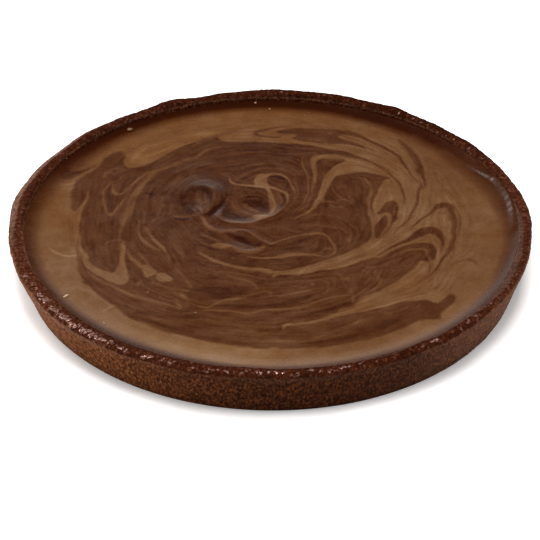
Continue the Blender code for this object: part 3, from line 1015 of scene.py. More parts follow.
# Ticks on the left
pool(
    1.05, 1.0,
    (-99.5, -15), (-98.3, -22), (-97.3, -28), (-96, -33.5), (-94, -38), (-91.5, -42), (-88, -46),
    (-84, -50), (-80, -53.3), (-76.5, -55.4), (-73.5, -55.3), (-71.5, -53), (-71.3, -49),
    (-72.3, -45), (-73.4, -40), (-73.9, -34), (-74.2, -28), (-75, -22), (-76.5, -17), (-77, -22),
    (-76.4, -28), (-76.5, -34), (-77, -39), (-78.3, -43), (-80, -45.5), (-82.5, -43.3),
    (-86, -40.8), (-89.5, -38.2), (-92.3, -34.5), (-94.3, -30), (-96, -24), (-97.8, -18),
    (-99, -12),
)
ribbon(
    0.35, 0.9,
    (-100, -14, 0.5), (-99.2, -20, 0.8), (-98, -27, 1), (-97, -33, 1.2), (-96, -38, 2),
    (-94.5, -43, 3.4), (-92.5, -47, 4),
)
ribbon(
    0.85, 1.0,
    (-73.8, -24, 1), (-72.4, -29, 1.6), (-70.3, -33.3, 1.9), (-67.5, -37, 2.4), (-65.5, -40, 2.8),
)
pool(
    1.05, 1.0,
    (-67, -37.5), (-64, -38.2), (-62.4, -37.4), (-60.5, -38.5), (-58.5, -41), (-56.6, -43),
    (-56.4, -45.6), (-58, -47.4), (-59.7, -48), (-61, -49.2), (-62.6, -47.8), (-63.7, -45),
    (-65.2, -41.5),
)
pool(
    1.0, 1.0,
    (-56, -45.2), (-53.6, -44.4), (-51.8, -46.3), (-50, -48.5), (-48.8, -51), (-50.5, -52.5),
    (-53.5, -52.9), (-55.6, -50.6), (-56.1, -48),
)
ribbon(0.5, 1.0, (-68, -27, 0.6), (-65, -32.5, 1), (-62.3, -37, 1.2))
# Hooks and filaments on the left
ribbon(
    0.62, 1.1,
    (-85.5, 40, 1), (-87.4, 36.5, 1.6), (-88.8, 32, 1.5), (-89, 27, 1.3), (-88.8, 22, 1.3),
    (-88, 16, 1.3), (-86.9, 11, 1.4), (-85.5, 8.6, 1.6), (-83.8, 9, 1.8), (-82.4, 12.5, 1.5),
    (-80.5, 17.5, 1.3), (-78.5, 21.5, 1.2), (-76.6, 25.5, 1), (-75, 29.5, 0.5),
)
ribbon(0.8, 1.0, (-85.3, 8.9, 1.5), (-84, 8.6, 1.6))
ribbon(
    0.72, 1.1,
    (-84.8, 38.5, 0.6), (-84.2, 34.5, 1.3), (-82.9, 31, 1.8), (-81.2, 29.2, 2.3),
    (-79.3, 29.6, 1.4), (-77.6, 32.3, 1.3), (-76.3, 35.5, 1.4), (-74.8, 39.5, 1.6),
    (-72.3, 43.5, 1.7), (-69, 47, 1.6), (-65.5, 50.5, 1.3), (-61.5, 53.3, 0.6),
)
ribbon(
    0.55, 2.2,
    (-45, 66, 1.4), (-48, 63, 2), (-53, 59.5, 2.2), (-58, 55.5, 2.4), (-63, 50, 2.6),
    (-66.5, 44, 2.6), (-69.3, 38, 3), (-71.3, 32, 3.6), (-72.9, 26, 4), (-74, 20, 4.4),
    (-75.2, 13, 4.4), (-76.6, 6, 3.6), (-77.6, 0, 2.4), (-78.1, -6, 1.2), (-77.9, -12, 0.9),
)
ribbon(0.75, 1.5, (-69.5, 37, 1), (-71, 32.5, 1.4), (-72.2, 28, 1.2))
ribbon(
    0.7, 1.1,
    (-27, 78.6, 0.4), (-33.9, 75.9, 1.3), (-37.6, 72.4, 1.7), (-41.5, 68.4, 1.4),
    (-49.1, 60.9, 1.2), (-57.4, 54.9, 1.1), (-64.7, 46, 0.9), (-69.4, 36, 0.6),
)
ribbon(0.55, 0.9, (-84.5, 47.6, 0.5), (-88.4, 49.8, 1), (-90, 45.4, 0.8))
ribbon(0.5, 0.9, (-88, 51.5, 0.6), (-84, 53.6, 1), (-79.9, 54.5, 0.5))
ribbon(
    0.5, 1.0,
    (-85, -20, 0.8), (-84, -17.8, 1), (-81.3, -16.2, 1.1), (-78, -15, 1.2), (-76.3, -15.5, 1.4),
    (-76.6, -20, 1.4),
)
ribbon(0.38, 1.2, (-68.5, 22, 0.5), (-67.8, 14, 0.9), (-67, 7, 0.9), (-66.3, 1, 0.5))
ribbon(-0.35, 1.6, (-66, 29.8, 2), (-64.8, 29.3, 2.2))
ribbon(
    0.4, 1.2,
    (-57.5, 26.5, 1), (-58, 22, 1.2), (-59, 17, 1.2), (-59.4, 12, 1.1), (-59.5, 8, 0.5),
)
ribbon(0.4, 1.4, (-55.3, 33, 0.7), (-54.2, 37, 1.4), (-52.3, 41.5, 1.2), (-50, 45, 0.6))
ribbon(
    0.6, 1.1,
    (-69.3, -1, 0.6), (-68.7, -7, 1.2), (-66.5, -13, 1.6), (-63.5, -18, 2.2), (-60, -22, 2.5),
    (-56.5, -25.3, 1.4),
)
ribbon(
    0.85, 1.0,
    (-62, -9.5, 0.8), (-60.2, -13.7, 1.8), (-58, -17.3, 2.1), (-56, -20.5, 2), (-54.4, -23.7, 1.7),
    (-53.4, -26.5, 0.8),
)
ribbon(0.55, 1.4, (-66, -3, 0.8), (-64, -6.5, 1.8), (-62.8, -8.5, 1.4))
ribbon(0.45, 1.2, (-49.3, -19, 0.6), (-47.8, -24, 1.1), (-46.2, -29, 1.2), (-45, -34, 0.6))
ribbon(0.5, 1.3, (-62.2, 1.8, 1), (-60.7, 4.2, 1.2), (-58, 5.8, 0.7))
# Painted shadow under the small lip at the left of the whirl
ribbon(-0.5, 0.9, (-50.5, 5.2, 0.6), (-47.5, 3.9, 1.8), (-45, 3.7, 1.9), (-42.8, 4.6, 0.8))
ribbon(
    0.6, 0.9,
    (-50.5, 6.6, 0.5), (-47.5, 7, 1.1), (-45, 6.6, 1.3), (-42, 7.1, 1), (-40, 8.3, 0.6),
)
# A small bubble, only painted: its dark pit is painted shade, and the pale arc beside it is a painted
# highlight
ribbon(-0.4, 0.7, (-70.4, 2.7, 0.8), (-70.1, 1.2, 1))
ribbon(0.6, 0.7, (-69.6, 3.4, 0.5), (-69.1, 1.7, 0.7), (-69.2, 0.2, 0.4))

# The whirl: its folds first, then its colours
ridge(
    1.15, 13, 12,
    (-47, 18, 0), (-47.5, 24, 0.15), (-45, 30.5, 0.45), (-41.5, 34.8, 0.8), (-37.5, 36.3, 1),
    (-33.3, 34.2, 1), (-30.6, 29, 0.95), (-30, 23, 0.85), (-31.2, 17, 0.7), (-33.7, 11, 0.5),
    (-37, 7, 0.25), (-41, 5, 0),
)
ridge(
    0.7, 13, 6,
    (-36, 36, 0), (-31, 32.8, 0.6), (-27, 29.6, 1), (-23.6, 27, 0.9), (-20.6, 24.6, 0),
)
ridge(
    0.8, 7, 5,
    (-31, 10, 0), (-28.2, 6.6, 0.3), (-25, 3, 0.7), (-21.4, 0.9, 1), (-14.7, -0.5, 1), (-8, 1, 1),
    (-3.5, 4.4, 1), (2.4, 7.5, 1), (6.4, 13.2, 0.9), (8.6, 21, 0.7), (8.2, 29, 0.3), (6, 35, 0),
)
ridge(
    0.7, 5, 4,
    (-37, 7, 0), (-35.4, 2.5, 0.5), (-33, -2.3, 0.8), (-29.5, -5.8, 1), (-24.2, -7, 1),
    (-16.8, -5.8, 1), (-11.6, -7.6, 1), (-6.4, -14.6, 0.9), (-0.5, -19.6, 0.6), (5, -17, 0),
)
ridge(
    0.42, 3.6, 3,
    (-23, -19, 0), (-20, -22.3, 0.8), (-15, -25.2, 1), (-10.7, -25.8, 1), (-6.3, -23.8, 0.8),
    (-4, -21, 0),
)
ridge(
    0.26, 3.2, 2.2,
    (-53, 6, 0), (-50.6, 4.4, 0.7), (-46.5, 2.2, 1), (-43, 2.6, 1), (-39.8, 6.4, 0.5), (-38, 9, 0),
)
ridge(
    0.18, 6, 6,
    (-62, 40, 0), (-56, 47, 0.8), (-48, 53, 1), (-38, 57, 1), (-28, 58, 0.6), (-20, 57, 0),
)
ridge(
    0.2, 5, 5,
    (2, 57, 0), (8, 53.5, 0.8), (13, 48, 1), (15.5, 41, 1), (15.8, 33, 0.7), (14.6, 25, 0),
)
pool(
    -0.12, 3,
    (-48, 36), (-50, 30), (-49, 20), (-46, 12), (-41, 9.5), (-37.5, 13), (-39, 20), (-40, 27),
    (-38, 31), (-34.5, 32.5), (-35.5, 36.5), (-40, 38.5), (-44, 40),
)
pool(
    -0.05, 3,
    (-47, 38), (-42, 44.5), (-34, 48.3), (-26, 48.8), (-22.3, 43), (-21.3, 34), (-23.5, 27),
    (-27, 31), (-30.5, 35), (-36, 38), (-42, 36.5), (-46.5, 32),
)
ribbon(
    -0.4, 2.8,
    (-42.2, 32.4, 0.6), (-38.3, 34, 2), (-34.6, 32.4, 3.2), (-33, 29, 3), (-32.4, 25, 2),
    (-32.4, 20, 0.8),
)
ribbon(-0.3, 2, (-46.6, 27, 1), (-46.4, 21, 2.4), (-44, 16, 2.4), (-41, 12.5, 1.4))
# Painted shadow: the dark line down the lobe's right flank and into the slot is the shade that the
# fold casts there
ribbon(
    -0.45, 2.6,
    (-23.6, 28, 0.6), (-25.4, 22.5, 2.2), (-27.4, 17.4, 3.4), (-29.4, 13, 4.6), (-31.6, 9.6, 3.4),
    (-34.4, 8, 1),
)
ribbon(-0.8, 1.6, (-25.2, 20.5, 0.4), (-27.2, 16.4, 1.4), (-29, 12.8, 2.2), (-31.4, 9.6, 1))
ribbon(
    0.15, 1.4,
    (-31.2, 30, 0.5), (-30.2, 25, 1.2), (-30.6, 19, 1.6), (-32.3, 14, 1.6), (-35, 9.8, 1.2),
    (-38.6, 7.2, 0.8),
)
ribbon(
    0.5, 0.9,
    (-40.6, 18.4, 0.8), (-38.9, 16.4, 1.1), (-37.2, 14.4, 1.2), (-36.2, 11.8, 0.9),
    (-36.3, 9.4, 0.4),
)
ribbon(0.4, 0.9, (-41.2, 15, 0.5), (-40.2, 13, 1), (-38.4, 10.4, 1), (-37.6, 8.2, 0.6))
ribbon(0.35, 0.9, (-38.2, 22.6, 0.7), (-35.8, 21.3, 1.2), (-33.9, 22.4, 1), (-33.4, 25, 0.5))
ribbon(0.2, 1.5, (-39, 29, 1), (-37.8, 25, 2.2), (-37, 20, 1.8))
# Second bowl
pool(
    -0.25, 1.8,
    (-24, 24), (-21.5, 22), (-21, 17), (-19, 13), (-15.5, 9.5), (-12, 6.5), (-12, 3.6), (-18, 3.4),
    (-23, 5.2), (-26, 8.3), (-26.3, 13), (-25.5, 18.5),
)
pool(
    -0.22, 4,
    (-17, 23), (-13, 27), (-8, 28.6), (-4, 27), (-2.2, 21), (-1.8, 15.5), (-3.6, 12.4), (-7, 13.4),
    (-10.4, 16.4), (-14, 19.4),
)
ribbon(-0.35, 1.8, (-12.6, 22.4, 1), (-9, 22.8, 2.6), (-5.6, 20, 3), (-3.4, 15.6, 2))
ribbon(0.2, 0.9, (-14.6, 25.4, 0.5), (-10.6, 26, 0.9), (-6.6, 25.2, 1), (-4, 22.6, 0.6))
ribbon(
    0.5, 0.9,
    (-29.5, 10.5, 0.5), (-27.6, 7.2, 1.2), (-25, 4.2, 1.4), (-21.4, 2.4, 1.5), (-14.7, 1.2, 1.5),
    (-10, 2, 1.6), (-6.5, 4, 2), (-2, 6.4, 2.2), (2.4, 8.8, 2.2), (6, 13.5, 1.6), (8.2, 18, 1.4),
    (8.9, 23, 1.5), (8.8, 28, 1.5), (8, 31.8, 1.5),
)
ribbon(0.12, 0.9, (-27.6, 16.5, 0.4), (-27, 13, 1), (-26.6, 9.6, 1.1), (-25.8, 7.4, 0.5))
pool(0.95, 1.8, (-9.4, 8), (-7.6, 9.8), (-4, 9.9), (-1.4, 8.6), (-0.8, 6.6), (-3.4, 5.2), (-6.6, 5))
ribbon(
    0.5, 1.2,
    (-20.4, 22.5, 0.6), (-19.6, 19.5, 1.4), (-18.4, 16.6, 1.7), (-16.4, 13.8, 1.7),
    (-13.4, 11.3, 1.5), (-10.4, 9.4, 0.8),
)
ribbon(
    0.3, 1,
    (-22.4, 24, 0.6), (-22, 18.5, 1.1), (-20.3, 13.6, 1.1), (-17.4, 9.9, 0.8), (-14, 7.4, 0.4),
)
ribbon(0.45, 1, (-14.2, 21, 0.6), (-12.8, 17.4, 1.4), (-10.2, 14, 1.5), (-7.2, 11.6, 1))
ribbon(
    0.95, 0.9,
    (-3.2, 36, 1.8), (-1.8, 31.5, 2.4), (-0.2, 27, 3), (1, 22, 3.4), (1.5, 17, 3.4), (1.2, 13.5, 3),
    (0.2, 10.6, 2),
)
ribbon(0.35, 0.8, (-1.3, 29, 0.4), (0.1, 24.5, 0.9), (0.9, 19.5, 0.9), (0.8, 14.5, 0.5))
ribbon(0.45, 1, (3.4, 30, 0.6), (4.8, 25.4, 1.3), (5, 19.5, 1.3), (3.8, 14.2, 0.8))
ribbon(-0.35, 1.2, (6.4, 30, 0.6), (7, 25.5, 1.5), (6.6, 20, 1.5), (5, 14.6, 1))
# S curl
ribbon(
    1, 0.9,
    (-22.6, 46, 0.5), (-22, 42, 1.5), (-20, 40.2, 1.7), (-16, 38.6, 1.7), (-12, 37.8, 1.7),
    (-8.3, 37, 2), (-4, 36.3, 2.2), (0.1, 35.6, 2), (4, 33.8, 1.6), (7, 31.6, 1.5),
    (8.9, 28.6, 1.3), (9.3, 25, 0.9),
)
pool(
    1.05, 0.9,
    (-8.6, 36.8), (-9.2, 41), (-8.8, 45.8), (-7.3, 48.6), (-3.5, 49.9), (0.4, 49.9), (-1.4, 47),
    (-2.6, 43.5), (-2.2, 39.4), (-0.2, 35.8), (-4.4, 35.6),
)
ribbon(
    0.85, 0.8,
    (-2.5, 49.2, 1.6), (1, 49.8, 1.7), (4.2, 49.2, 1.5), (7.2, 47, 1.3), (9.4, 43.8, 1.2),
    (10.9, 39.6, 1.1), (12, 35, 0.9), (12.6, 30.5, 0.4),
)
ribbon(-0.3, 1.5, (-1, 46, 1), (2.6, 47, 2.4), (6, 44.6, 2.6), (8, 40.6, 2), (9, 36, 1))
ribbon(0.3, 0.9, (4.2, 44, 0.5), (7, 42.6, 0.9), (8, 39.6, 0.9), (6.6, 37.4, 0.7), (3.6, 37.6, 0.4))
ribbon(
    0.45, 1.1,
    (-19.5, 43.5, 0.6), (-17.3, 46.8, 1.3), (-14, 49.9, 1.6), (-11, 52.4, 1.6), (-7.5, 54.2, 1.5),
    (-3.5, 55.3, 1.4), (1, 55.5, 1.3), (5, 54.6, 1.2), (8.5, 52.5, 1), (11.5, 49.5, 0.6),
)
ribbon(
    0.3, 1,
    (-15, 56, 0.5), (-8, 58.8, 1.1), (0, 59.6, 1.2), (7, 58, 1.1), (12.6, 54, 0.9), (16, 48.4, 0.4),
)
ribbon(
    0.25, 0.9,
    (10.6, 49.6, 0.4), (13, 45, 0.9), (14.2, 39.6, 1), (14.4, 34, 0.8), (13.8, 29, 0.3),
)
# Milk lines coming down on the right of it
ribbon(
    0.62, 1.0,
    (17, 67, 0.6), (16.5, 62.5, 1.1), (17.3, 57, 1.2), (18.8, 51.5, 1.3), (20, 45.5, 1.3),
    (20.3, 39.5, 1.3), (19.8, 33, 1.2), (18.8, 27, 1.1), (17.2, 21, 1), (15.3, 16.5, 0.8),
    (12.5, 12, 0.5),
)
ribbon(
    0.6, 1.0,
    (23, 41, 1.4), (22.8, 36, 1.4), (22, 30.5, 1.3), (21, 25.5, 1.2), (19.5, 20.5, 1.1),
    (17.5, 16.5, 1), (15, 13, 0.6),
)
ribbon(
    0.3, 1.2,
    (13.5, 45, 0.5), (14, 38, 1), (13.8, 31, 1.1), (12.8, 24, 1.1), (11, 17.5, 0.9), (8, 12.5, 0.5),
)
ribbon(0.5, 1.1, (11, 71, 0.5), (15, 71.3, 0.9), (20, 71.9, 1), (25, 72, 0.6))
# Below the whirl
pool(
    0.7, 1.6,
    (-37.4, 6.4), (-34.8, 5), (-33.4, 1.4), (-31.2, -2), (-28.6, -4.6), (-24, -5.6), (-17, -4.6),
    (-13.6, -5), (-17, -6.4), (-24, -7.8), (-29.6, -6.8), (-33.2, -3), (-35.6, 1.6),
)
ribbon(0.85, 1.2, (-35.6, 4, 1), (-33.4, -0.6, 1.8), (-30.8, -4, 1.2))
pool(
    -0.3, 3.4,
    (-23.6, -8.6), (-17, -9.2), (-12, -11.6), (-8, -14.6), (-5, -17.8), (-7, -20.4), (-11, -20),
    (-16, -18), (-20.4, -13.6),
)
ribbon(-0.55, 2, (-19, -11, 0.8), (-15, -12.6, 2.2), (-11.4, -15.4, 2.4), (-9, -18, 1))
ribbon(
    0.25, 1,
    (-24.6, -10.6, 0.6), (-21, -12.4, 1.2), (-17.6, -15.4, 1.3), (-14.6, -18.4, 1),
    (-12.4, -20.8, 0.5),
)
ribbon(0.1, 1, (-17, -8.6, 0.5), (-13, -10.6, 1), (-9.8, -13.8, 1), (-7.6, -17, 0.5))
pool(
    -0.05, 2,
    (-12, -7.6), (-9, -9.6), (-5, -13.2), (-1.5, -16.4), (0, -19.4), (-4, -18.6), (-8, -15.2),
    (-11.6, -11.4),
)
ribbon(
    0.55, 0.9,
    (-13.5, -5.6, 0.7), (-10, -8.4, 1.1), (-6.2, -12.6, 1.2), (-2.6, -16, 1), (0, -18.2, 0.8),
)
ribbon(
    0.9, 1,
    (-21.5, -20.8, 0.8), (-17.6, -23.6, 1.5), (-13.4, -25.2, 1.7), (-9.6, -25.2, 1.7),
    (-6.4, -23.4, 1.6), (-4.6, -21, 0.7),
)
pool(
    0.92, 1.8,
    (-31, -19.4), (-27.6, -17.4), (-23.6, -18.2), (-20.6, -21), (-23, -22.8), (-26.6, -22.2),
    (-29.4, -21.4),
)
ribbon(0.55, 1.2, (-36, -17.4, 0.8), (-33, -19, 1.6), (-30, -20, 1.4))
ribbon(0.6, 1.2, (-36, -10.4, 0.6), (-32.6, -11.4, 1.2), (-29.4, -13.4, 1.4), (-26.4, -15.8, 0.8))
ribbon(
    0.68, 1.0,
    (-0.5, -18.3, 1.3), (3, -16, 1.4), (8, -13.6, 1.5), (13, -11.2, 1.5), (18, -9.2, 1.6),
    (23, -7.6, 1.7), (27, -8, 1.6), (29.5, -10.3, 1.4), (31, -14, 1.4), (32.2, -18, 1.5),
    (33, -22, 1.5), (32.6, -26, 1.4), (30.5, -29, 1.2), (27, -29.6, 0.8),
)
ribbon(
    0.72, 1.4,
    (3, -28.6, 1.2), (8, -27.8, 2.6), (13, -27.6, 3), (18, -27.4, 2.6), (22, -28, 1.6),
    (26, -29, 0.8),
)
ribbon(
    1.05, 0.8,
    (-12, -29.8, 0.4), (-7, -30.2, 1), (-3, -30.3, 1.1), (4, -29.7, 1.1), (11.5, -28.8, 1),
    (19, -28.2, 0.7),
)
ribbon(0.5, 1.0, (25.3, -25.5, 0.8), (26.3, -23, 1), (28.8, -21.7, 1), (31, -22.3, 0.8))
ribbon(-0.1, 1.2, (28.2, -24.3, 2.6), (28, -26.5, 2.2))
ribbon(
    0.3, 1.8,
    (18, 9, 1), (24, 9.7, 1.6), (30, 9.6, 1.6), (35, 7.4, 1.5), (39, 3.5, 1.2), (42, -1, 0.7),
)
ribbon(
    0.35, 1.8,
    (16, -1.4, 1), (22, -0.8, 1.8), (28, -0.9, 1.9), (34, -1.8, 1.9), (38.5, -4.2, 1.7),
    (41, -8.5, 1.5), (41.7, -13.5, 1.4), (40.8, -18.5, 1.1), (38.5, -23, 0.6),
)
ribbon(0.3, 1.6, (-2, -2, 1), (4, -2.5, 1.8), (10, -5, 1.8), (16, -8, 1))

# Lower part: broad dark and light zones, then veins
pool(
    -0.1, 3.0,
    (-42, -60), (-36, -58.5), (-28, -56), (-18, -56), (-10, -57.5), (-12, -62), (-20, -65.5),
    (-28, -66.5), (-36, -66), (-41, -64),
)
ribbon(
    -0.15, 2.6,
    (-29, -73, 2), (-20, -74, 4), (-10, -74, 4.4), (0, -72.8, 4.6), (8, -70.8, 5), (15, -67.5, 4.4),
    (20, -63.5, 2.4),
)
ribbon(
    -0.15, 2.6,
    (10, -84, 2), (18, -81.5, 4), (26, -78.5, 5), (34, -74, 5), (40, -69.5, 4.4), (44, -65.5, 2.4),
)
ribbon(
    -0.12, 2.6,
    (-66, -79, 2), (-60, -79, 3.4), (-52, -82, 3.6), (-44, -83.5, 3), (-35, -82.5, 3.4),
    (-26, -85, 2),
)
ribbon(-0.12, 2.2, (-58, -87, 2), (-52, -89.5, 3), (-44, -92.5, 2.6), (-36, -95, 1.5))
ribbon(
    -0.15, 2.2,
    (14, -103.3, 1.5), (22, -103.2, 2.6), (30, -101.5, 3.6), (38, -98.5, 4.6), (46, -94.5, 5),
    (54, -90, 4.6), (62, -85, 3.4),
)
ribbon(
    0.42, 2.2,
    (-94, -42, 1), (-91, -46, 2.4), (-87, -50.5, 3), (-82, -54.5, 3), (-77, -58.5, 2.6),
    (-71, -62.5, 2.4), (-64, -66.5, 2.4), (-57, -69.5, 2.2), (-50, -72.5, 1.6), (-45, -75.5, 0.8),
)
ribbon(
    0.33, 1.8,
    (-89, -55, 1), (-85, -60, 1.8), (-80, -65, 2), (-75, -70, 1.8), (-69, -74.5, 1.2),
    (-62, -77, 0.6),
)
ribbon(0.45, 1.4, (-58, -54.5, 0.8), (-53, -57.3, 1.5), (-47, -59.7, 1.6), (-41, -60.3, 1.2))
ribbon(
    0.42, 1.6,
    (-49.5, -37, 0.6), (-47.5, -42, 1.3), (-44.8, -47, 1.5), (-42, -52, 1.5), (-40, -57, 1.1),
)
ribbon(0.35, 1.8, (-52.5, -28, 0.8), (-52, -33, 1.4), (-51.5, -38, 0.8))
ribbon(0.6, 1.2, (-59.3, -53, 0.8), (-58.7, -54, 1.4))
ribbon(0.55, 1.4, (-66, -53, 1.2), (-66.3, -55, 1.6))
ribbon(0.6, 1.3, (-61.3, -61.5, 1.2), (-60.8, -62.2, 1.2))
ribbon(0.45, 2.0, (-44.5, -62.5, 1.2), (-42.3, -65.5, 2.2), (-41, -68.8, 1.4))
ribbon(0.45, 1.8, (-46.5, -69, 0.8), (-45.8, -72.5, 2), (-45.2, -76, 1))
ribbon(
    0.45, 1.4,
    (-41, -70.5, 0.6), (-36, -73.3, 1.3), (-30.5, -75, 1.3), (-28, -72.5, 1.4), (-24.5, -69.3, 1.6),
    (-20.5, -67.3, 2), (-16, -66.2, 2.2), (-11, -64.2, 1.7), (-7, -61.8, 1.6), (-4, -59.4, 2),
    (-1.5, -59.3, 2), (0, -61.5, 1.2), (0.3, -64, 0.6),
)
ribbon(0.6, 1.4, (-18, -66.4, 1.6), (-16, -66.2, 1.6))
ribbon(
    0.42, 1.3,
    (-43, -80, 0.5), (-37, -78.2, 1), (-30, -77.4, 1.2), (-22, -77.6, 1.2), (-15, -78.8, 1.2),
    (-10, -79.8, 1.2), (-5, -77.6, 1.4), (2, -76, 1.4), (9, -75.2, 1.3), (15, -74, 1.4),
    (20, -71.8, 1.4), (24, -68.5, 1.4), (29, -66.3, 1.3), (35, -64.3, 1.2), (40, -62.5, 0.7),
)
ribbon(
    0.5, 1.6,
    (-22, -46.5, 0.7), (-17, -48.5, 1.4), (-12, -51.3, 1.5), (-8.5, -54, 1.4), (-6.8, -56.5, 0.8),
)
ribbon(
    0.38, 2.0,
    (-30, -44, 1), (-22, -43.5, 2), (-14, -45.3, 2.2), (-7, -47.5, 1.6), (-2, -49, 0.8),
)
ribbon(0.35, 2.2, (4, -64.5, 1.6), (9, -62.5, 2.6), (15, -60, 2.6), (20, -57.5, 1.6))
ribbon(0.3, 1.6, (9, -54.5, 0.8), (14, -56, 1.6), (19, -57.6, 1.2))
ribbon(0.9, 1.1, (20.2, -53.4, 1.2), (20.9, -53.7, 1.2))
ribbon(0.6, 2.0, (36.3, -49.5, 2), (38.5, -49.5, 2.4))
ribbon(
    0.35, 1.6,
    (25, -51, 0.8), (28, -51.5, 1.2), (29, -55, 1.2), (28.5, -59, 1), (26.5, -62, 0.6),
)
ribbon(
    0.35, 1.6,
    (33, -44, 0.8), (35.5, -47, 1.2), (36.5, -51, 1), (38, -56, 1), (40, -60, 1.4),
    (41.5, -65, 1.4), (41, -69, 0.8),
)
ribbon(0.4, 1.4, (46, -40, 0.6), (49.5, -44, 1), (49, -49, 1), (47, -54, 0.6))
ribbon(
    0.42, 1.4,
    (56, -42, 0.6), (53.5, -46, 1.2), (54.5, -51, 1.2), (53, -56, 1), (51, -59.5, 0.5),
)
ribbon(0.4, 1.4, (47, -37, 0.6), (52, -38.5, 1.2), (57, -37, 1.2), (60, -35, 0.6))
ribbon(
    0.35, 2.2,
    (-32, -92.5, 1), (-22, -93.3, 2.2), (-12, -94, 2.2), (-3, -95.5, 1.6), (4, -96.5, 0.8),
)
ribbon(
    0.38, 2.4,
    (-8, -101, 1.2), (2, -101.6, 2.6), (12, -101.6, 2.6), (20, -100.8, 1.6), (24, -98.3, 1.3),
    (30, -94.8, 1.6), (37, -90.8, 2), (42, -86, 2), (45, -82, 1),
)
ribbon(0.5, 1.3, (-3, -95, 1.2), (-1.8, -95.2, 1.2))
ribbon(0.3, 2.4, (49, -79, 1.6), (55, -78, 2.6), (60, -79, 1.4))
# Wedge of milk: fine lines
ribbon(
    0.75, 0.9,
    (58, -63.5, 0.4), (63, -61.3, 0.8), (67, -58.3, 0.9), (70.5, -55.5, 0.7), (73, -52, 0.4),
)
ribbon(
    0.75, 0.9,
    (66, -62.5, 0.4), (70, -61.5, 0.8), (73, -59.3, 0.8), (76, -58.8, 0.8), (78.5, -56.5, 0.6),
    (80, -53, 0.4),
)
ribbon(1.25, 1.0, (82.3, -45.5, 0.6), (82, -50, 1.3), (81.6, -54, 1.2))
ribbon(1.2, 1.2, (76, -62, 0.8), (78.5, -60.3, 1.6), (80, -58, 0.8))
# Outer milk: tonal drifts
ribbon(1.15, 4, (-102, -12, 1), (-101.5, -20, 2), (-100, -30, 2), (-99, -40, 1.5))
ribbon(
    1.2, 2.5,
    (-98, -57.5, 1.2), (-93, -60, 2.2), (-88, -64, 2.2), (-84, -69, 1.4), (-79, -74, 1.6),
)
# Fine pale lines, and a darker wedge, in the milk at the left
ribbon(
    1.7, 0.9,
    (-113.8, -24.5, 0.5), (-111.1, -26.5, 0.9), (-107.5, -28.3, 0.9), (-104, -29.7, 1),
    (-100.6, -29.4, 0.9), (-98.1, -28.8, 0.5),
)
ribbon(0.4, 0.8, (-99.4, -20, 0.4), (-99, -28, 0.8), (-97.8, -36, 0.9), (-96.4, -44, 0.8))
ribbon(1.5, 0.8, (-117.8, 37.3, 0.5), (-113.5, 39, 0.9), (-108.9, 38.4, 0.9), (-105.5, 40.4, 0.6))
ribbon(1.7, 0.9, (-82.1, -77.9, 0.6), (-79.8, -75.8, 1), (-77.4, -74.1, 0.6))
pool(
    -0.1, 0.9,
    (-95.6, 57.3), (-100.6, 51.4), (-104.3, 49.1), (-109.4, 45.4), (-106.7, 49.8), (-100.8, 53.6),
)
# The thick film that ran up the pastry at the right
ridge(
    1.7, 6, 2.8,
    (95, 74, 0), (101.5, 66, 0.8), (107.9, 58, 1), (113.4, 51.8, 0.85), (118.6, 45.2, 0.6),
    (122.4, 37, 0.9), (125, 28, 1.1), (126.2, 19, 1.1), (126.6, 10, 0.9), (126, 0, 0.5),
    (124.5, -8, 0),
)


# The folds are eased, as they sank a little before the chocolate set
for axis in (0, 1, 0, 1):
    relief = sum(np.roll(relief, shift, axis) for shift in (-2, -1, 0, 1, 2)) / 5

ROUND_PULL = 0.25                # weight of the plain round stirring beside the drawn lines


def stirring_heading():
    """Which way the chocolate was drawn at each cell of the sheet, as an angle."""
    sums = flow.copy()
    for _ in range(3):
        for axis in (1, 2):
            sums = (sums + np.roll(sums, 1, axis) + np.roll(sums, -1, axis)) / 3
    coarse_x = sheet_x[::FLOW_SKIP, ::FLOW_SKIP]
    coarse_y = sheet_y[::FLOW_SKIP, ::FLOW_SKIP]
    leaning = smoothstep(30, 110, np.hypot(coarse_x, coarse_y))
    around = np.arctan2(coarse_y - 10 * (1 - leaning), coarse_x + 15 * (1 - leaning))
    sums[0] += ROUND_PULL * np.cos(2 * around + math.pi)
    sums[1] += ROUND_PULL * np.sin(2 * around + math.pi)
    heading = np.arctan2(sums[1], sums[0]) / 2
    heading = np.repeat(np.repeat(heading, FLOW_SKIP, 0), FLOW_SKIP, 1)
    return heading[:len(sheet_axis), :len(sheet_axis)]


def draw_streaks(seed, size, reach):
    """Fine lines of that width and length in millimetres that run the way of the stirring."""
    heading = stirring_heading()
    run_x = np.cos(heading)
    run_y = np.sin(heading)
    grain = sheet_noise(np.random.default_rng(seed), size)
    cells = np.arange(len(sheet_axis), dtype=float)
    column, row = np.meshgrid(cells, cells)
    total = grain.copy()
    steps = int(reach / 2 / CELL)
    for way in (1, -1):
        across = column.copy()
        up = row.copy()
        last_x = way * run_x
        last_y = way * run_y
        for step in range(steps):
            across = np.clip(across + last_x, 0, cells[-1])
            up = np.clip(up + last_y, 0, cells[-1])
            spot = (np.rint(up).astype(int), np.rint(across).astype(int))
            total += grain[spot] * (1 - step / steps)
            next_x = run_x[spot]
            next_y = run_y[spot]
            turned = np.where(next_x * last_x + next_y * last_y < 0, -1, 1)
            last_x = next_x * turned
            last_y = next_y * turned
    return total / total.std()


def read_sheet(sheet, x, y):
    """The sheet's value at points in metres, between its cells."""
    across = np.clip((x / MM + SHEET_HALF) / CELL, 0, len(sheet_axis) - 2)
    up = np.clip((y / MM + SHEET_HALF) / CELL, 0, len(sheet_axis) - 2)
    column = across.astype(int)
    row = up.astype(int)
    return between_cells(sheet, column, row, across - column, up - row)


streaks = draw_streaks(21, 0.9, 22)
hairlines = draw_streaks(22, 0.5, 9)
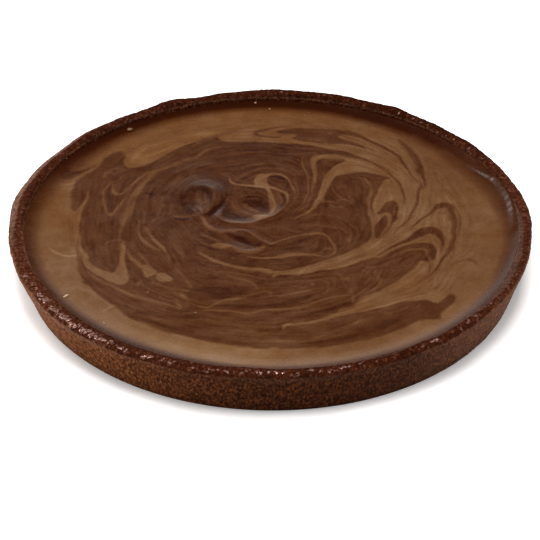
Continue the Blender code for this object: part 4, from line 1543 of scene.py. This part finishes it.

# Where the milk chocolate thins out over the pastry, darkened partly by the pastry showing through
# and partly by painted shade of the rim, deepest at the back: azimuth in degrees, the radii in
# millimetres where that starts and ends, the tone that shows at the end, and how much paler a band
# just inside is, which is painted sheen, strongest at the front left
THIN_EDGE = (
    (-180, 117, 127, -0.1, 0),
    (-165, 119, 127, -0.1, 0.05),
    (-150, 120.5, 127, -0.1, 0.15),
    (-120, 119, 127, -0.3, 0.35),
    (-90, 121.5, 127.5, -0.15, 0.2),
    (-60, 122, 129, -0.2, 0.2),
    (-30, 120, 127, -0.3, 0),
    (0, 117, 126, -0.1, 0),
    (30, 110.5, 125, -0.3, 0),
    (45, 112, 124.5, -0.5, 0),
    (60, 113.5, 123.5, -0.75, 0),
    (90, 115, 126, -0.95, 0.05),
    (120, 115.5, 127, -0.9, 0.05),
    (135, 115.5, 127.5, -0.9, 0.05),
    (150, 110.5, 129, -0.7, 0),
    (165, 115, 128.5, -0.3, 0),
    (180, 117, 127, -0.1, 0),
)
# Patches that set lighter or darker: x, y and radius in millimetres, change of tone. The first, at
# the front, is partly painted sheen
DRIFTS = (
    (-25, -112, 34, 0.30),
    (45, -102, 30, -0.22),
    (116, -30, 34, -0.18),
    (80, 80, 36, -0.15),
    (100, 50, 26, -0.22),
    (15, 112, 45, -0.22),
    (-70, 92, 40, -0.22),
    (-120, 10, 30, -0.14),
)
# Patches where the dark chocolate is lighter or darker, in the same terms: lighter towards the front,
# darker at the back
DARK_DRIFTS = (
    (0, 72, 28, -0.15),
    (0, -95, 30, 0.20),
    (50, -60, 30, 0.16),
    (-62, -68, 26, 0.20),
    (-85, -25, 22, 0.10),
)
# Patches with a warmer or a colder brown: x, y and radius in millimetres, change of warmth
WARM_PATCHES = (
    (-85, 80, 40, 0.5),
    (0, -90, 60, 0.05),
    (-90, -60, 40, -0.3),
    (-34, 38, 13, -0.7),
    (-40, 20, 18, -0.3),
    (-60, 0, 40, -0.15),
    (0, 95, 50, 0.25),
    (90, 85, 40, 0.25),
    (0, 125, 40, 0.3),
    (-60, 105, 35, 0.3),
    (-120, 8, 30, 0.45),
)

# Where the thick film at the right stayed wet and shines: x, y and radius in millimetres
WET_SPOTS = (
    (110.4, 55.8, 1.6), (112.2, 53.8, 2.2), (114.1, 50.7, 2.4), (116.0, 47.5, 2.0),
    (118.5, 42.8, 1.3), (120.1, 39.1, 1.0), (122.9, 32.1, 1.2), (123.7, 28.1, 1.4),
    (124.5, 24.2, 1.5), (125.5, 18.0, 1.7), (126.4, 12.5, 1.7), (127.3, 7.7, 1.4),
    (128.1, -0.9, 1.0),
)
SKIRT_GAP = 0.3              # between its hidden side and the case, in millimetres
SKIRT_MIDDLE = 0.015         # height of a ring halfway down that side
STREAK_RELIEF = 0.02         # height of the streaks in millimetres


def blend_patches(patches, x, y):
    """Sum of soft round patches at points in metres."""
    total = np.zeros_like(x)
    for centre_x, centre_y, size, change in patches:
        gap = np.hypot(x / MM - centre_x, y / MM - centre_y) / size
        total += change * np.exp(-gap * gap)
    return total


def wet_film(x, y):
    """How wet the chocolate stayed, from 0 to 1."""
    wet = np.zeros(len(x))
    for spot_x, spot_y, size in WET_SPOTS:
        gap = np.hypot(x / MM - spot_x, y / MM - spot_y) / size
        wet = np.maximum(wet, smoothstep(1.25, 0.75, gap))
    return wet


def disc_points():
    """Even rings of 6, 12, 18 ... points round the middle, then rings out to the edge."""
    spacing = FIELD_RADIUS / FIELD_RINGS
    rows = [np.zeros((1, 2))]
    for ring in range(1, FIELD_RINGS + 1):
        angle = 2 * math.pi * np.arange(6 * ring) / (6 * ring)
        rows.append(ring * spacing * np.stack([np.cos(angle), np.sin(angle)], axis=1))
    edge = edge_climb(turn_between(np.degrees(angle), 0))[2]
    for ring in range(1, RIM_RINGS + 1):
        share = ring / RIM_RINGS
        radius = FIELD_RADIUS + (edge - FIELD_RADIUS) * (1.35 * share - 0.35 * share * share)
        rows.append(np.stack([radius * np.cos(angle), radius * np.sin(angle)], axis=1))
    return np.vstack(rows)


def disc_faces():
    """Triangles between the even rings, each ring six points longer than the last."""
    faces = []
    for ring in range(FIELD_RINGS):
        inner_first = 1 + 3 * ring * (ring - 1) if ring else 0
        outer_first = 1 + 3 * ring * (ring + 1)
        inner_count = max(6 * ring, 1)
        outer_count = 6 * (ring + 1)
        side = np.repeat(np.arange(6), ring + 1)
        spot = np.tile(np.arange(ring + 1), 6)
        inner = inner_first + (side * ring + spot) % inner_count
        outer = outer_first + side * (ring + 1) + spot
        beside = outer_first + (side * (ring + 1) + spot + 1) % outer_count
        faces += np.stack([inner, outer, beside], axis=1).tolist()
        side = np.repeat(np.arange(6), ring)
        spot = np.tile(np.arange(ring), 6)
        inner = inner_first + side * ring + spot
        following = inner_first + (side * ring + spot + 1) % inner_count
        beside = outer_first + (side * (ring + 1) + spot + 1) % outer_count
        faces += np.stack([inner, beside, following], axis=1).tolist()
    return faces


def set_tone(x, y, line, stirred):
    """The tone that each spot of the top set to: 1 is milk chocolate, 0 is dark."""
    radius = np.hypot(x, y) / MM
    azimuth = np.degrees(np.arctan2(y, x))
    table = np.array(THIN_EDGE, float).T
    start, end, end_tone, painted_sheen_lift = [np.interp(azimuth, table[0], row) for row in table[1:]]
    milk = read_sheet(tone, x, y)
    in_milk = smoothstep(0.3, 0.9, milk)
    shade = milk + blend_patches(DRIFTS, x, y) * in_milk
    shade += blend_patches(DARK_DRIFTS, x, y) * (1 - in_milk)

    # The dark chocolate shows its swirls more strongly, and fine streaks run through both
    shade += 0.35 * (shade - 0.22) * (1 - smoothstep(0.45, 0.8, milk))
    shade += (0.03 + 0.07 * stirred) * line
    shade += (0.02 + 0.03 * stirred) * read_sheet(hairlines, x, y)

    # Towards the pastry it thins out and darkens, partly with painted shade, past a paler band of
    # painted sheen
    shade += painted_sheen_lift * np.exp(-(((radius - start + 3) / 3.5) ** 2))
    return shade + (end_tone - shade) * smoothstep(start, end, radius)


def make_filling(material):
    """The set chocolate: its marbled top, and a plain skirt and bottom inside the case."""
    x, y = disc_points().T
    stirred = smoothstep(112, 100, np.hypot(x, y) / MM)
    line = read_sheet(streaks, x, y)
    folds = read_sheet(relief, x, y) + STREAK_RELIEF * line * stirred
    height = filling_top(x, y) + folds * MM
    rows = [np.column_stack([x, y, height])]
    ring_points = 6 * FIELD_RINGS
    rim = rows[0][-ring_points:]
    for lower in (SKIRT_MIDDLE, FLOOR_THICKNESS + SKIRT_GAP * MM):
        skirt_radius = inner_radius(lower) - SKIRT_GAP * MM
        flat = rim[:, :2] * skirt_radius / np.hypot(*rim[:, :2].T)[:, None]
        rows.append(np.column_stack([flat, np.full(ring_points, lower)]))
    points = np.vstack(rows)
    faces = disc_faces()
    first = 1 + 3 * FIELD_RINGS * (FIELD_RINGS - 1)
    faces += ring_faces(RIM_RINGS + 3, ring_points, first)[:, ::-1].tolist()
    faces.append(list(range(len(points) - ring_points, len(points))))
    piece = make_piece("marbled_filling", points, faces, material)
    hidden = np.zeros(2 * ring_points)
    paint_attribute(piece, "chocolate_tone", np.append(set_tone(x, y, line, stirred), hidden))
    warmth = 0.5 + blend_patches(WARM_PATCHES, x, y)
    paint_attribute(piece, "warmth", np.append(warmth, hidden + 0.5))
    paint_attribute(piece, "wet_film", np.append(wet_film(x, y), hidden))
    paint_attribute(piece, "stirred", np.append(stirred, hidden))
    return piece


def reckon_place(tree, operation, sockets, output=0):
    """One step of arithmetic on places or directions."""
    node = add_node(tree, "ShaderNodeVectorMath", sockets, operation=operation)
    return node.outputs[output]


def build_stirring():
    """Node group: what the spoon left in the chocolate, as fine streaks and as pale veins."""
    outputs = ("Streaks", "Veins", "Clouds")
    group, scale, leave = new_group("stirring", "Streak Width", 0.004, outputs)
    place = own_place(group)
    # Noise drawn out round the spoon's middle, so that it runs in wandering rings
    wander = noise(group, place, 70.0, 2.0).outputs["Color"]
    sockets = {0: wander, 1: (0.014, 0.014, 0.0), 2: place}
    wander = reckon_place(group, "MULTIPLY_ADD", sockets)
    sockets = {0: wander, 1: (1.0, 1.0, 0.0), 2: (0.008, -0.017, 0.0)}
    flat = reckon_place(group, "MULTIPLY_ADD", sockets)
    reach = reckon_place(group, "LENGTH", {0: flat}, "Value")
    around = reckon_place(group, "NORMALIZE", {0: flat})
    around = reckon_place(group, "SCALE", {0: around, "Scale": 0.026})
    outward = add_node(group, "ShaderNodeCombineXYZ", {"Z": reach}).outputs[0]
    polar = reckon_place(group, "ADD", {0: around, 1: outward})
    drawn = noise(group, polar, scale, 3.0, 0.6).outputs["Fac"]
    clouds = noise(group, place, 45.0, 2.0).outputs["Fac"]
    from_middle = reckon(group, "ABSOLUTE", reckon(group, "SUBTRACT", drawn, 0.5))
    veins = ease(group, from_middle, 0.0, 0.022, 1.0, 0.0)
    veins = times(group, veins, ease(group, clouds, 0.44, 0.60))
    group.links.new(ease(group, drawn, 0.28, 0.72, -1.0, 1.0), leave.inputs["Streaks"])
    group.links.new(veins, leave.inputs["Veins"])
    group.links.new(ease(group, clouds, 0.3, 0.7, -1.0, 1.0), leave.inputs["Clouds"])
    return group


TONE_LOW = -1.0              # range of tones that the colour ramps span
TONE_HIGH = 2.4
# Browns of the chocolate, from the darkest: tone, then red, green and blue
COLD_BROWNS = (
    (-0.9, (34, 11, 3)),
    (-0.5, (41, 17, 7)),
    (0.0, (62, 35, 20)),
    (0.5, (78, 50, 33)),
    (1.0, (95, 68, 47)),
    (1.5, (111, 86, 65)),
    (2.2, (133, 114, 97)),
)
WARM_BROWNS = (
    (-0.9, (36, 10, 1)),
    (-0.5, (43, 13, 2)),
    (0.0, (63, 32, 10)),
    (0.5, (77, 45, 21)),
    (1.0, (95, 62, 32)),
    (1.5, (111, 81, 50)),
    (2.2, (134, 108, 81)),
)
STREAK_WIDTH = 0.0035
SATIN = (0.25, 0.31)         # roughness of the set chocolate, from its glossiest to its dullest


def ramp_by_tone(tree, share, browns):
    """A colour ramp whose browns are placed by their tone."""
    span = TONE_HIGH - TONE_LOW
    return ramp(tree, share, [((place - TONE_LOW) / span, brown) for place, brown in browns])


def build_filling_material():
    """Set chocolate: milk, dark and everything between, with a soft satin sheen."""
    material, tree, shader = new_material("set_chocolate")
    painted = read_attribute(tree, "chocolate_tone")
    place = own_place(tree)
    mottle = noise(tree, place, 700.0, 3.0, 0.6).outputs["Fac"]
    clouds = noise(tree, place, 90.0, 4.0, 0.55).outputs["Fac"]
    stirring = add_node(tree, "ShaderNodeGroup", {})
    stirring.node_tree = build_stirring()
    stirring.inputs["Streak Width"].default_value = STREAK_WIDTH

    # The tone: as painted, mottled and clouded, with streaks and veins where it was stirred
    shade = plus(tree, ease(tree, mottle, 0.25, 0.75, -0.11, 0.11), painted)
    shade = plus(tree, shade, ease(tree, clouds, 0.25, 0.75, -0.10, 0.10))
    in_dark = ease(tree, painted, 0.45, 0.85, 1.0, 0.25)
    in_dark = times(tree, in_dark, read_attribute(tree, "stirred"))
    drawn = times(tree, stirring.outputs["Streaks"], 0.16)
    drawn = plus(tree, drawn, times(tree, stirring.outputs["Veins"], 0.30))
    shade = plus(tree, shade, times(tree, drawn, in_dark))
    in_milk = ease(tree, painted, 0.7, 0.95, 0.0, 0.07)
    shade = plus(tree, shade, times(tree, stirring.outputs["Clouds"], in_milk))

    share = reckon(tree, "SUBTRACT", shade, TONE_LOW)
    share = reckon(tree, "DIVIDE", share, TONE_HIGH - TONE_LOW)
    warmth = times(tree, stirring.outputs["Clouds"], -0.15)
    warmth = plus(tree, read_attribute(tree, "warmth"), warmth)
    cold = ramp_by_tone(tree, share, COLD_BROWNS)
    warm = ramp_by_tone(tree, share, WARM_BROWNS)
    tree.links.new(mix_colours(tree, warmth, cold, warm), shader.inputs["Base Color"])
    tree.links.new(ease(tree, clouds, 0.3, 0.7, *SATIN), shader.inputs["Roughness"])
    wet = times(tree, read_attribute(tree, "wet_film"), 0.7)
    tree.links.new(wet, shader.inputs["Coat Weight"])
    shader.inputs["Coat Roughness"].default_value = 0.22
    shader.inputs["Specular IOR Level"].default_value = 0.15
    raise_bumps(tree, shader, mottle, 0.00012, 0.6)
    return material


filling = make_filling(build_filling_material())
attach(filling, "root")
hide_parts("chocolate_filling")


# ---------------------------------------------------------------------------------------------
# Loose crumbs
# Bits of pastry that broke off the case: a few lie on the chocolate, the palest at the left, and
# one stuck to the inside of the crest. Each is a small irregular lump, and all are one mesh.

# Place x and y, length and width in millimetres, turn in degrees, paleness from 0 to 1
CRUMBS = (
    (-101.2, -66.7, 3.2, 1.5, 50, 1.0),
    (-79.3, 94.6, 3.2, 2.6, 20, 0.35),
    (-9.3, 125.6, 1.5, 1.2, 0, 0.70),
    (-1.1, 119.2, 1.4, 1.1, 30, 0.75),
    (21.2, 114.9, 1.1, 0.9, 75, 0.45),
    (-60.9, -62.0, 1.0, 0.8, 10, 0.50),
    (-36.7, -79.2, 1.1, 0.8, 140, 0.55),
    (-80.8, -89.1, 1.6, 0.8, 155, 0.65),
    (-58.5, -54.1, 0.9, 0.7, 60, 0.45),
    (-112.0, 62.5, 1.5, 1.1, 40, 0.20),
    (112.0, -62.0, 1.0, 0.8, 100, 0.30),
)
CRUMB_RINGS = 9
CRUMB_STEPS = 14
CRUMB_HEIGHT = 0.7           # of its width
CRUMB_SINK = 0.15            # how far into the chocolate, of its height
CRUMB_GRAIN = 0.0009
CRUMB_BROWNS = ((0.0, (66, 40, 27)), (0.5, (122, 92, 66)), (1.0, (176, 154, 128)))


def make_crumbs(material):
    """All the crumbs as one mesh, each a ball pushed into a lump, turned and laid down."""
    angle = np.linspace(0.02, 0.98, CRUMB_RINGS) * math.pi
    ball = turned_grid(
        np.column_stack([np.sin(angle), -np.cos(angle)]),
        np.arange(CRUMB_STEPS) * 360 / CRUMB_STEPS,
    ).reshape(-1, 3)
    points = []
    faces = []
    paleness = []
    for number, (x, y, length, width, turn, pale) in enumerate(CRUMBS):
        shape = ball * (1 + 0.16 * lumps(ball, 0.8, 40 + number))[:, None]
        shape = shape * np.array([length, width, width * CRUMB_HEIGHT]) / 2 * MM
        cosine = math.cos(math.radians(turn))
        sine = math.sin(math.radians(turn))
        along = shape[:, 0] * cosine - shape[:, 1] * sine
        across = shape[:, 0] * sine + shape[:, 1] * cosine
        rest = filling_top(np.array([x * MM]), np.array([y * MM]))[0]
        rest += (0.5 - CRUMB_SINK) * CRUMB_HEIGHT * width * MM
        first = len(points) * len(ball)
        points.append(np.column_stack([along + x * MM, across + y * MM, shape[:, 2] + rest]))
        faces += ring_faces(CRUMB_RINGS, CRUMB_STEPS, first).tolist()
        last = first + (CRUMB_RINGS - 1) * CRUMB_STEPS
        faces.append(list(range(first, first + CRUMB_STEPS))[::-1])
        faces.append(list(range(last, last + CRUMB_STEPS)))
        paleness += [pale] * len(ball)
    piece = make_piece("loose_crumbs", np.vstack(points), faces, material)
    paint_attribute(piece, "paleness", paleness)
    return piece


def build_crumb_material():
    """Baked crumb, from the brown of the case to the cream of bare shortcrust."""
    material, tree, shader = new_material("loose_crumb")
    grain, _ = add_grain(tree, CRUMB_GRAIN)
    colour = ramp(tree, read_attribute(tree, "paleness"), CRUMB_BROWNS)
    colour = shaded(tree, 1.0, colour, ease(tree, grain, 0.0, 1.0, 0.7, 1.1))
    tree.links.new(colour, shader.inputs["Base Color"])
    shader.inputs["Roughness"].default_value = 0.75
    shader.inputs["Specular IOR Level"].default_value = 0.1
    return material


crumbs = make_crumbs(build_crumb_material())
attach(crumbs, "root")


# ---------------------------------------------------------------------------------------------
# Floor, light and camera
# A pale table, lit a little from within as in a light tent. A broad box hangs overhead,
# softer ones stand on both sides, and two high boxes on the left and a low panel behind put the
# gloss on the crest and on the edge of the chocolate. The camera looks down from the front.

bpy.ops.mesh.primitive_plane_add(size=12.0, location=(0, 0, 0))
floor = bpy.context.object
floor.name = "floor"
floor_material, _, floor_shader = new_material("pale_table")
floor_shader.inputs["Base Color"].default_value = (0.92, 0.935, 0.95, 1.0)
floor_shader.inputs["Roughness"].default_value = 0.9
floor_shader.inputs["Specular IOR Level"].default_value = 0.1
floor_shader.inputs["Emission Color"].default_value = (1.0, 1.0, 1.0, 1.0)
floor_shader.inputs["Emission Strength"].default_value = 0.25
floor.data.materials.append(floor_material)


def add_soft_box(name, place, size, power, colour):
    """A studio light of that width and height at a place, turned to face the tart."""
    light = bpy.data.lights.new(name, "AREA")
    light.shape = "RECTANGLE"
    light.size, light.size_y = size
    light.energy = power
    light.color = colour
    box = bpy.data.objects.new(name, light)
    bpy.context.scene.collection.objects.link(box)
    box.location = place
    box.rotation_euler = (-box.location).to_track_quat("-Z", "Y").to_euler()


add_soft_box("overhead_box", (-0.05, -0.25, 2.3), (1.1, 1.1), 71.0, (1.0, 0.96, 0.93))
add_soft_box("high_left_box", (-1.25, 0.57, 1.72), (0.6, 0.6), 10.0, (1.0, 0.92, 0.88))
add_soft_box("back_left_box", (-1.5, 1.3, 1.5), (0.4, 0.4), 3.0, (1.0, 0.84, 0.76))
add_soft_box("left_box", (-1.7, -0.7, 0.9), (1.2, 1.2), 11.0, (1.0, 0.97, 0.93))
add_soft_box("right_box", (1.7, -0.4, 0.9), (1.2, 1.2), 9.0, (1.0, 0.97, 0.95))
add_soft_box("back_panel", (-0.8, 2.0, 0.55), (2.1, 0.55), 5.5, (1.0, 0.96, 0.92))

world = bpy.data.worlds.new("studio")
world.use_nodes = True
world.node_tree.nodes["Background"].inputs["Color"].default_value = (1.0, 1.0, 1.0, 1.0)
world.node_tree.nodes["Background"].inputs["Strength"].default_value = 0.04
bpy.context.scene.world = world
bpy.context.scene.view_settings.view_transform = "Standard"

CAMERA_DISTANCE = 8 * RIM_RADIUS
CAMERA_ELEVATION = math.radians(34.33)
CAMERA_ROLL = math.radians(0.3)
AIM_LEFT = 0.00043           # the middle of the view lies this far left of the tart's middle
AIM_DOWN = 0.00522           # and this far below it, as the camera sees it
lens = bpy.data.cameras.new("camera")
lens.lens = 136.44
lens.sensor_width = 36.0
lens.clip_end = 30.0
camera = bpy.data.objects.new("camera", lens)
bpy.context.scene.collection.objects.link(camera)
sink = math.cos(CAMERA_ELEVATION)
rise = math.sin(CAMERA_ELEVATION)
camera.location = (0.0, -CAMERA_DISTANCE * sink, CAMERA_DISTANCE * rise)
aim = Vector((-AIM_LEFT, -AIM_DOWN * rise, -AIM_DOWN * sink))
facing = (aim - camera.location).to_track_quat("-Z", "Y")
camera.rotation_euler = (facing @ Quaternion((0, 0, 1), CAMERA_ROLL)).to_euler()
bpy.context.scene.camera = camera
